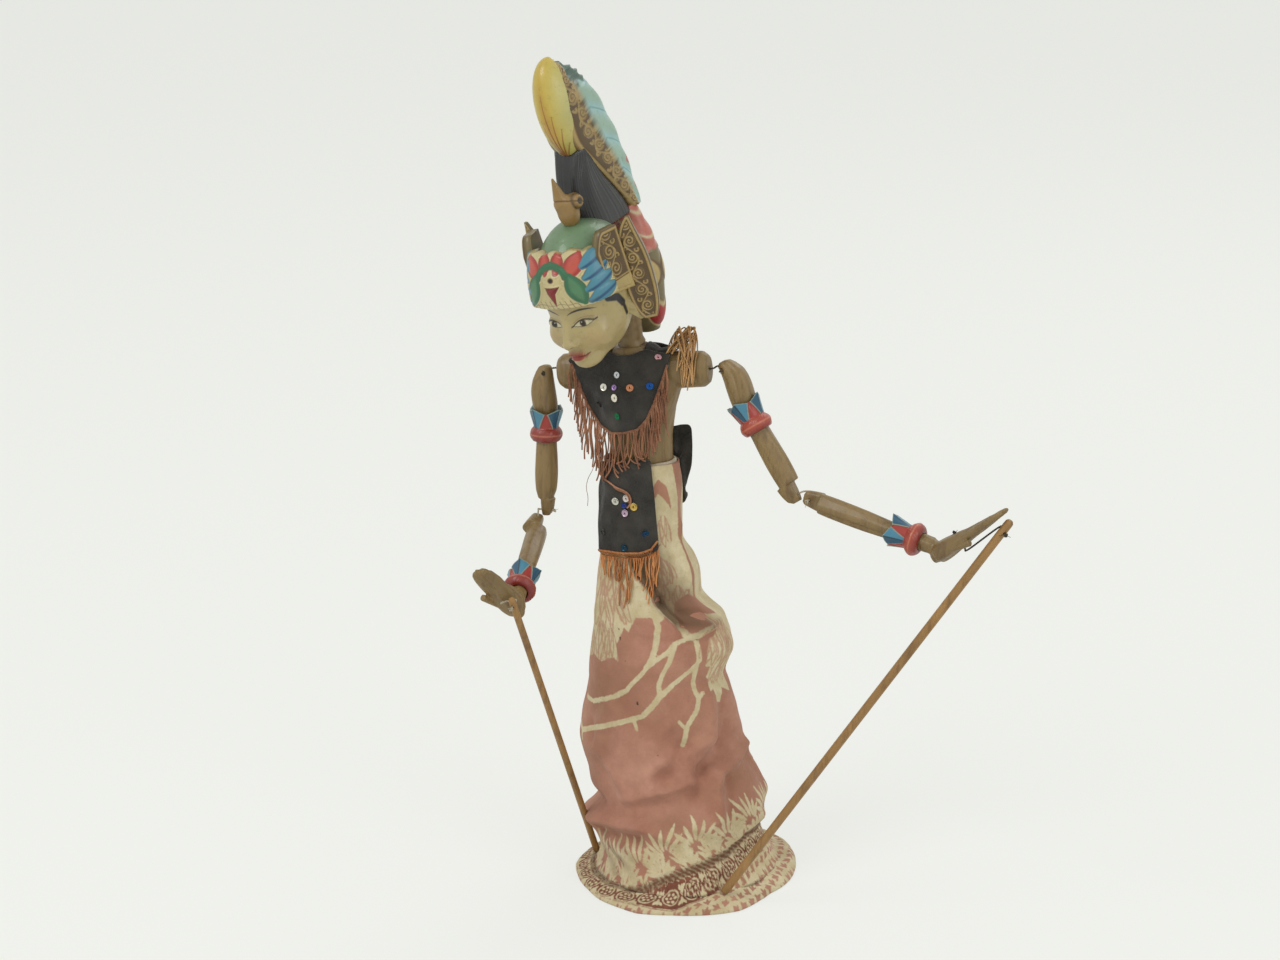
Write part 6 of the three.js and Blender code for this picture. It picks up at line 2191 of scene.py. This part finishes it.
def remeshed(name, meshes, holes, voxel, rounds, material, body, replaced):
    # joins overlapping shapes into one even skin, bores the holes and smooths it
    whole = bmesh.new()
    for mesh in meshes:
        whole.from_mesh(mesh)
    bmesh.ops.remove_doubles(whole, verts=whole.verts, dist=1e-6)
    bmesh.ops.recalc_face_normals(whole, faces=whole.faces)
    joined = bpy.data.meshes.new(name)
    whole.to_mesh(joined)
    whole.free()
    piece = linked(name, joined)
    modifier = piece.modifiers.new("skin", "REMESH")
    modifier.mode = "VOXEL"
    modifier.voxel_size = voxel * mm
    modifier.use_smooth_shade = True
    soft = piece.modifiers.new("soft", "SMOOTH")
    soft.factor = 0.5
    soft.iterations = rounds
    drills = []
    for a, b, radius in holes:
        drill = linked(
            name + "Drill", meshOf(name + "Drill", drillGrid(radius, (b - a).length), placeAlong(a, b)),
        )
        cut = piece.modifiers.new("hole", "BOOLEAN")
        cut.operation = "DIFFERENCE"
        cut.object = drill
        drills.append(drill)
    made = bpy.data.meshes.new_from_object(piece.evaluated_get(bpy.context.evaluated_depsgraph_get()))
    piece.modifiers.clear()
    piece.data = made
    for drill in drills:
        bpy.data.objects.remove(drill)
    made.materials.clear()
    made.materials.append(material)
    made.polygons.foreach_set("use_smooth", [True] * len(made.polygons))
    return settle(piece, body, replaced)


def drillGrid(radius, length):
    turn = np.linspace(0, 2 * np.pi, 20, endpoint=False)
    x, y = radius * np.cos(turn), radius * np.sin(turn)
    return np.array([np.stack([x, y, np.full(20, z)], axis=-1) for z in (0.0, length)])


def placeAlong(a, b):
    # from the drill's own millimetres to the scene, through the figure's frame
    turn = (b - a).normalized().to_track_quat("Z", "Y").to_matrix().to_4x4()
    turn.translation = a
    return figureFrame @ Matrix.Scale(mm, 4) @ turn


def toScene(frame):
    return figureFrame @ Matrix.Scale(mm, 4) @ frame


def across(frame, axis, z):
    out = Vector((15, 0, z)) if axis == "x" else Vector((0, 15, z))
    back = Vector((-out.x, -out.y, z))
    return frame @ back, frame @ out, 1.05


def buildUpperArm(label):
    frame, _, _, (length, _) = armFrames(label)
    left = label == "left"
    cuts = [(88, 110, -1 if left else 1, 0, 2.2)]
    if left:
        flutes = [(250, 0.9, 2, 34, 1.3), (285, 0, 56, 90, 0.5), (40, 0, 54, 96, 0.5)]
    else:
        flutes = [(262, 0.3, 4, 34, 0.9), (275, 0, 56, 96, 0.6), (210, 0, 54, 92, 0.5)]
    limb = carvedLimb(leftUpper if left else rightUpper, cuts, flutes, 1.3 if left else 4.1)
    mesh = meshOf(label + "UpperArmLoft", limb, toScene(frame))
    holes = [across(frame, "y", 0), across(frame, "x", length)]
    return remeshed(
        label + "UpperArm", [mesh], holes, 0.5, 3, varnishedWood, label + "_upper_arm",
        [label + "_upper_arm"],
    )


# mm by which the slab of fingers ends short of the hand's tip
slabTrim = {"left": 9, "right": 0}


def extraHand(label):
    # fills the hand out: a deep palm and one slab for the fingers, and the right hand's sawn oval end
    _, _, hand, (_, length) = armFrames(label)
    left = label == "left"
    length -= slabTrim[label]
    rows = [
        (-1.5, 3, 3.4, 0, 0.6), (2, 6.6, 6.4, 0, 0.8), (9, 8.3, 6.6, 0, 0.6), (18, 8.4, 5.6, 0, 0.4),
        (28, 8.2, 4.4, 0, 0.2),
        (38, 7.8, 3.6, 0, 0), (length - 8, 7.2, 3, 0, 0), (length - 3, 6.4, 2.5, 0, 0),
        (length - 1, 4.6, 1.6, 0, 0),
    ]
    if not left:
        rows = rows[:5] + [
            (34, 7.6, 4, -0.6, 0), (length - 9, 7, 3.6, -0.8, 0), (length - 4, 6, 3, -0.8, 0),
            (length - 1.5, 4.4, 2, -0.8, 0),
        ]
    grooves = [(place, 0, 24, 90, 0.9) for place in (62, 90, 118, 242, 270, 298)]
    parts = [meshOf(label + "Slab", carvedLimb(rows, [], grooves, 2.2), toScene(hand))]
    if not left:
        turn = np.linspace(0, 2 * np.pi, 64, endpoint=False)
        ring = []
        for share, depth in ((0.3, -6.2), (0.7, -4.5), (0.92, -1.5), (1, 0.6), (0.99, 1.6), (0.93, 1.9)):
            ring.append(np.stack(
                [9.4 * share * np.cos(turn), 12.6 * share * np.sin(turn), depth + 0 * turn], axis=-1,
            ))
        ring.append(ring[-1] * np.array([0.4, 0.4, 1]) + np.array([0, 0, -0.35]))
        parts.append(meshOf("sawnEnd", np.array(ring), toScene(sawnFrame())))
    return parts


def sawnFrame():
    # the oval end faces the viewer, a little downward, and leans over
    normal = Vector((0.12, -0.93, -0.12)).normalized()
    upward = Vector((-0.57, 0, 0.82))
    y = (upward - normal * upward.dot(normal)).normalized()
    return frameOf(y.cross(normal), y, normal, (-62.6, -108, 235))


def buildForearm(label):
    arm = armPlaces[label]
    frame = limbFrame(arm["forearm"], arm["wrist"], arm["back"])
    left = label == "left"
    place = toScene(frame)
    wrist = (Vector(arm["wrist"]) - Vector(arm["forearm"])).length
    cuts = [(-10, 7.5, 0, -1, 1.8)] if left else [(-10, 9, 0.8, -0.6, 1.6)]
    flutes = [(300, 0, 14, 60, 0.5), (200, 0, 12, 58, 0.5)]
    limb = meshOf(
        label + "ForearmLoft", carvedLimb(forearmRows, cuts, flutes, 2.7 if left else 5.2, min(wrist, 91)),
        place,
    )
    hand = bmesh.new()
    hand.from_mesh(nodes[label + "_forearm"].data)
    bmesh.ops.remove_doubles(hand, verts=hand.verts, dist=1e-6)
    plane = place @ Vector((0, 0, wrist - 6))
    normal = (place.to_3x3() @ Vector((0, 0, 1))).normalized()
    parts = hand.verts[:] + hand.edges[:] + hand.faces[:]
    cut = bmesh.ops.bisect_plane(hand, geom=parts, plane_co=plane, plane_no=normal, clear_inner=True)
    bmesh.ops.holes_fill(hand, edges=[e for e in cut["geom_cut"] if isinstance(e, bmesh.types.BMEdge)])
    handMesh = bpy.data.meshes.new(label + "HandPart")
    hand.to_mesh(handMesh)
    hand.free()
    holes = [across(frame, "y", 0)]
    return remeshed(
        label + "Forearm", [limb, handMesh] + extraHand(label), holes, 0.45, 3, varnishedWood,
        label + "_forearm", [label + "_forearm"],
    )


# Armlets and bracelets

bandShape = {"peak": 13.4, "valley": 9.6, "flare": 3.3, "ring": 10, "around": 216}


# each side's rings: their red, the dark line and the pale line
bandPaints = {
    "left": ((188, 80, 66), (158, 56, 50), (222, 142, 122)),
    "right": ((164, 60, 52), (150, 48, 46), (222, 142, 126)),
}


def buildBand(label, node, frame, centre, bore, body, twist):
    b = bandShape
    turn = np.linspace(0, 2 * np.pi, b["around"], endpoint=False)
    sector = ((turn + math.radians(twist)) % (np.pi / 2)) - np.pi / 4
    middle = 1 - np.abs(sector) / (np.pi / 4)
    tall = b["valley"] + (b["peak"] - b["valley"]) * middle + 0.8 * np.clip(0.16 - middle, 0, 1) * 5
    base = bore + 2.2
    rows, colors = [], []
    rings = [(-b["ring"], bore + 0.35), (-b["ring"], bore + 1.4)]
    rings += [
        (-b["ring"] * (1 - t), bore + 1.4 + (11.2 - bore - 1.4) * (1 - abs(2 * t - 0.94) ** 1.7) ** 0.75)
        for t in np.linspace(0.03, 0.94, 26)
    ]
    coral, deep, pale = bandPaints["left" if label.startswith("left") else "right"]
    for z, radius in rings:
        chip = 0.1 * np.sin(9 * turn + z) + 0.06 * np.sin(31 * turn + 2 * z)
        rows.append((radius + chip, z + 0 * turn))
        tone = layPaint(
            plainPaint(turn, coral), np.full_like(turn, abs(z + b["ring"] * 0.52) - 0.45), pale, 0.5,
        )
        colors.append(layPaint(tone, np.full_like(turn, z + b["ring"] * 0.82), deep, 1.2))
    arc = np.abs(np.abs(sector) - np.pi / 4) * 9.5
    for t in np.linspace(0.02, 1, 40):
        z = tall * t
        triangle = arc - 4.6 * (1 - z / 11.4)
        fold = 0.7 * np.exp(-((sector * 9.5 / 0.9) ** 2)) * t
        onRed = np.clip(0.5 - triangle / 0.8, 0, 1)
        radius = base + 0.1 + b["flare"] * t**1.3 * (0.55 + 0.45 * middle) + fold - 0.75 * onRed
        rows.append((radius, z))
        rgb = np.where((sector > 0)[:, None], np.array((36, 98, 146), float), np.array((84, 156, 208), float))
        rgb = layPaint(rgb, np.abs(sector * 9.5) - 0.3, (28, 52, 72), 0.3)
        rgb = layPaint(rgb, np.minimum(tall - z, 9) - 0.45, (148, 178, 188), 0.3)
        rgb = layPaint(rgb, np.abs(triangle - 0.35) - 0.32, (186, 190, 180), 0.25)
        colors.append(layPaint(rgb, triangle, (186, 62, 58), 0.25))
    for t in np.linspace(1, 0.2, 14):
        rows.append((base - 1.6 + b["flare"] * t**1.3 * (0.55 + 0.45 * middle), tall * t - 0.1))
        colors.append(plainPaint(turn, (58, 92, 112)))
    for z in (0.8, 0):
        rows.append((bore + 0.35 + 0 * turn, z + 0 * turn))
        colors.append(plainPaint(turn, (96, 70, 50)))
    grid = np.array([
        np.stack([r * np.cos(turn), r * np.sin(turn), centre + b["ring"] / 2 - (z + b["ring"])], axis=-1)
        for r, z in rows
    ])
    count = len(rows)
    faces = gridFaces(count, b["around"], 0, True) + closingFaces(count, b["around"], 3)
    place = toScene(frame)
    piece = makePiece(
        label, [place @ Vector(p) for p in grid.reshape(-1, 3)], faces, paintedWood, body, [node],
    )
    paintPiece(piece, np.array(colors))
    return piece


for label in ("left", "right"):
    buildUpperArm(label)
    buildForearm(label)
    upper, fore, _, _ = armFrames(label)
    buildBand(
        label + "Armlet", label + "_armlet", upper, 43, 7.1, label + "_upper_arm",
        40 if label == "left" else 20,
    )
    buildBand(label + "Bracelet", label + "_bracelet", fore, 78, 5.9, label + "_forearm", 40)
print("arms made")


# Strings, torso and waist band

stringShape = {"radius": 0.62, "pitch": 2.6}


def twisted(path, radius, pitch, shade):
    # two plies wound round a path in metres
    line, along, at = evenLine(path, pitch * mm, 12)
    side = np.cross(along, (0.31, 0.87, 0.38))
    side /= np.linalg.norm(side, axis=1)[:, None]
    up = np.cross(along, side)
    turn = (at / (pitch * mm) * 2 * np.pi)[:, None]
    return [
        (line + radius * 0.5 * mm * (np.cos(turn + k) * side + np.sin(turn + k) * up), radius * 0.62, shade)
        for k in (0, np.pi)
    ]


def knotOf(place, size, chance, shade):
    # a small tangle of yarn with three frayed ends
    turns = np.linspace(0, 5 * np.pi, 60)
    wobble = chance.uniform(0, 6, 3)
    loop = np.stack(
        [np.sin(turns + wobble[0]), np.sin(1.4 * turns + wobble[1]), np.cos(1.15 * turns + wobble[2])],
        axis=-1,
    )
    strands = [(np.array(place) + loop * size * 0.55 * mm, 0.42, shade)]
    for _ in range(3):
        way = chance.normal(0, 1, 3)
        way /= np.linalg.norm(way)
        bend = chance.normal(0, 0.4, 3)
        t = np.linspace(0, 1, 8)[:, None]
        end = np.array(place) + (way * t + bend * t**2) * size * chance.uniform(1.2, 2.2) * mm
        strands.append((end, 0.16, shade))
    return strands


def addString(label, place, points, material, dark):
    chance = np.random.default_rng(len(label) + len(place))
    line = [figurePoint(*p) for p in curveThrough(points, 8)]
    strands = twisted(line, stringShape["radius"], stringShape["pitch"], 0.5)
    for end in (line[0], line[-1]):
        strands += knotOf(end, 1.5, chance, 0.3)
    node = label + "_" + place + "_string"
    name = label + place.capitalize() + "String"
    body = {
        "shoulder": label + "_shoulder_tie", "elbow": label + "_elbow_tie", "rod": label + "_rod_tie",
    }[place]
    makeYarn(name, strands, darkThread if dark else material, body, [node])


def stringPaths(label):
    tie = rodPlaces[label]
    side = 1 if label == "left" else -1
    upper, fore, hand, (length, handLength) = armFrames(label)
    top = hand @ Vector((tie["across"], -tie["clear"], handLength + tie["along"]))
    foot = (figureInverse @ (Vector(tie["foot"]) * mm)) / mm
    rodFrame = limbFrame(top, foot, tie["back"])
    end, x, z = side * 54, side * 64, 362
    shoulder = [
        (end - side * 8.5, 0, z), (end - side * 5, 0, z), (end + side * 0.8, 0, z),
        (end + side * 2.6, 1.6, z), (end + side * 2.9, 5.5, z),
        (end + side * 4.8, 8.6, z), (x - side * 2.6, 10, z), (x - side * 0.5, 8.8, z), (x, 6.4, z), (x, 0, z),
        (x, -6.4, z),
    ]
    middle = (
        upper @ Vector((-side * 6.4, 0, length + 1)) + fore @ Vector((0, 6.6, -1))
    ) / 2 + Vector((0, 1.5, 1.5))
    elbow = [
        upper @ Vector((side * 6.2, 0, length)), upper @ Vector((0, 0, length)),
        upper @ Vector((-side * 5.4, 0, length)), middle,
    ]
    elbow += [fore @ Vector((0, 5.6, 0)), fore @ Vector((0, 0, 0)), fore @ Vector((0, -5.4, 0))]
    rodTie = [hand @ Vector((0, y, 20)) for y in (6.4, 2, -2, -6)] + [hand @ Vector((0, -7.6, 22))]
    rodTie += [rodFrame @ Vector((0, y, tie["tie"])) for y in (4.6, 0, -4.6)]
    return shoulder, elbow, rodTie


for label in ("left", "right"):
    shoulder, elbow, rodTie = stringPaths(label)
    addString(label, "shoulder", shoulder, stringThread, True)
    addString(label, "elbow", elbow, stringThread, False)
    addString(label, "rod", rodTie, stringThread, label == "left")


def buildTorso():
    mesh = bmesh.new()
    mesh.from_mesh(nodes["torso"].data)
    bmesh.ops.remove_doubles(mesh, verts=mesh.verts, dist=1e-6)
    copy = bpy.data.meshes.new("torsoCopy")
    mesh.to_mesh(copy)
    mesh.free()
    return remeshed("torsoCarved", [copy], [], 0.76, 5, varnishedWood, "torso", ["torso"])


waistBinding = {"sides": 24, "around": 220, "reach": 0.22}


def buildWaistBand():
    # a strip of cloth bound round the waist, its edge rolled and crumpled
    mesh = nodes["waist_band"].data
    points = np.array([tuple((figureInverse @ v.co) / mm) for v in mesh.vertices])
    low, high = points[:, 2].min(), points[:, 2].max()
    w = waistBinding
    turn = np.linspace(0, 2 * np.pi, w["around"], endpoint=False)
    far = np.hypot(points[:, 0], points[:, 1])
    angle = np.arctan2(points[:, 1], points[:, 0])
    near = [far[np.abs((angle - a + np.pi) % (2 * np.pi) - np.pi) < w["reach"]] for a in turn]
    outer, inner = np.array([c.max() for c in near]), np.array([c.min() for c in near])
    kernel = np.ones(13) / 13
    outer, inner = (np.convolve(np.r_[c[-6:], c, c[:6]], kernel, "valid") for c in (outer, inner))
    rings = []
    for k in range(w["sides"]):
        a = 2 * np.pi * k / w["sides"]
        middle, half = (outer + inner) / 2, (outer - inner) / 2
        wave = 0.12 * np.sin(11 * turn + a) + 0.1 * np.sin(23 * turn)
        radius = middle + (half * 0.96 + wave) * math.cos(a)
        z = (low + high) / 2 + ((high - low) / 2 - 0.2) * math.sin(a) + 0.25 * np.sin(7 * turn) * math.sin(a)
        rings.append(np.stack([radius * np.cos(turn), radius * np.sin(turn), z], axis=-1))
    grid = np.array(rings)
    faces = gridFaces(w["sides"], w["around"], 0, True) + closingFaces(w["sides"], w["around"], 3)
    flat = [figurePoint(*p) for p in grid.reshape(-1, 3)]
    return makePiece("waistBinding", flat, faces, stringThread, "torso", ["waist_band"])


buildTorso()
buildWaistBand()
print("strings, torso and waist band made")


# Floor


def addFloor():
    mesh = bpy.data.meshes.new("floor")
    half = 12
    corners = [(-half, -half, -0.0004), (half, -half, -0.0004), (half, half, -0.0004), (-half, half, -0.0004)]
    mesh.from_pydata(corners, [], [(0, 1, 2, 3)])
    floor = linked("floor", mesh)
    paper, tree, shader = newFinish("floorPaper", 0.9)
    shader.inputs["Base Color"].default_value = (0.83, 0.84, 0.8, 1)
    glow = addNode(tree, "ShaderNodeEmission", {"Color": (0.9, 0.91, 0.87, 1)}).outputs["Emission"]
    share = addNode(tree, "ShaderNodeMath", {0: raysSeen(tree), 1: 0.72}, operation="MULTIPLY").outputs[0]
    mixed = addNode(
        tree, "ShaderNodeMixShader", {0: share, 1: shader.outputs["BSDF"], 2: glow},
    ).outputs["Shader"]
    tree.links.new(mixed, tree.nodes["Material Output"].inputs["Surface"])
    mesh.materials.append(paper)


addFloor()
print("floor laid")
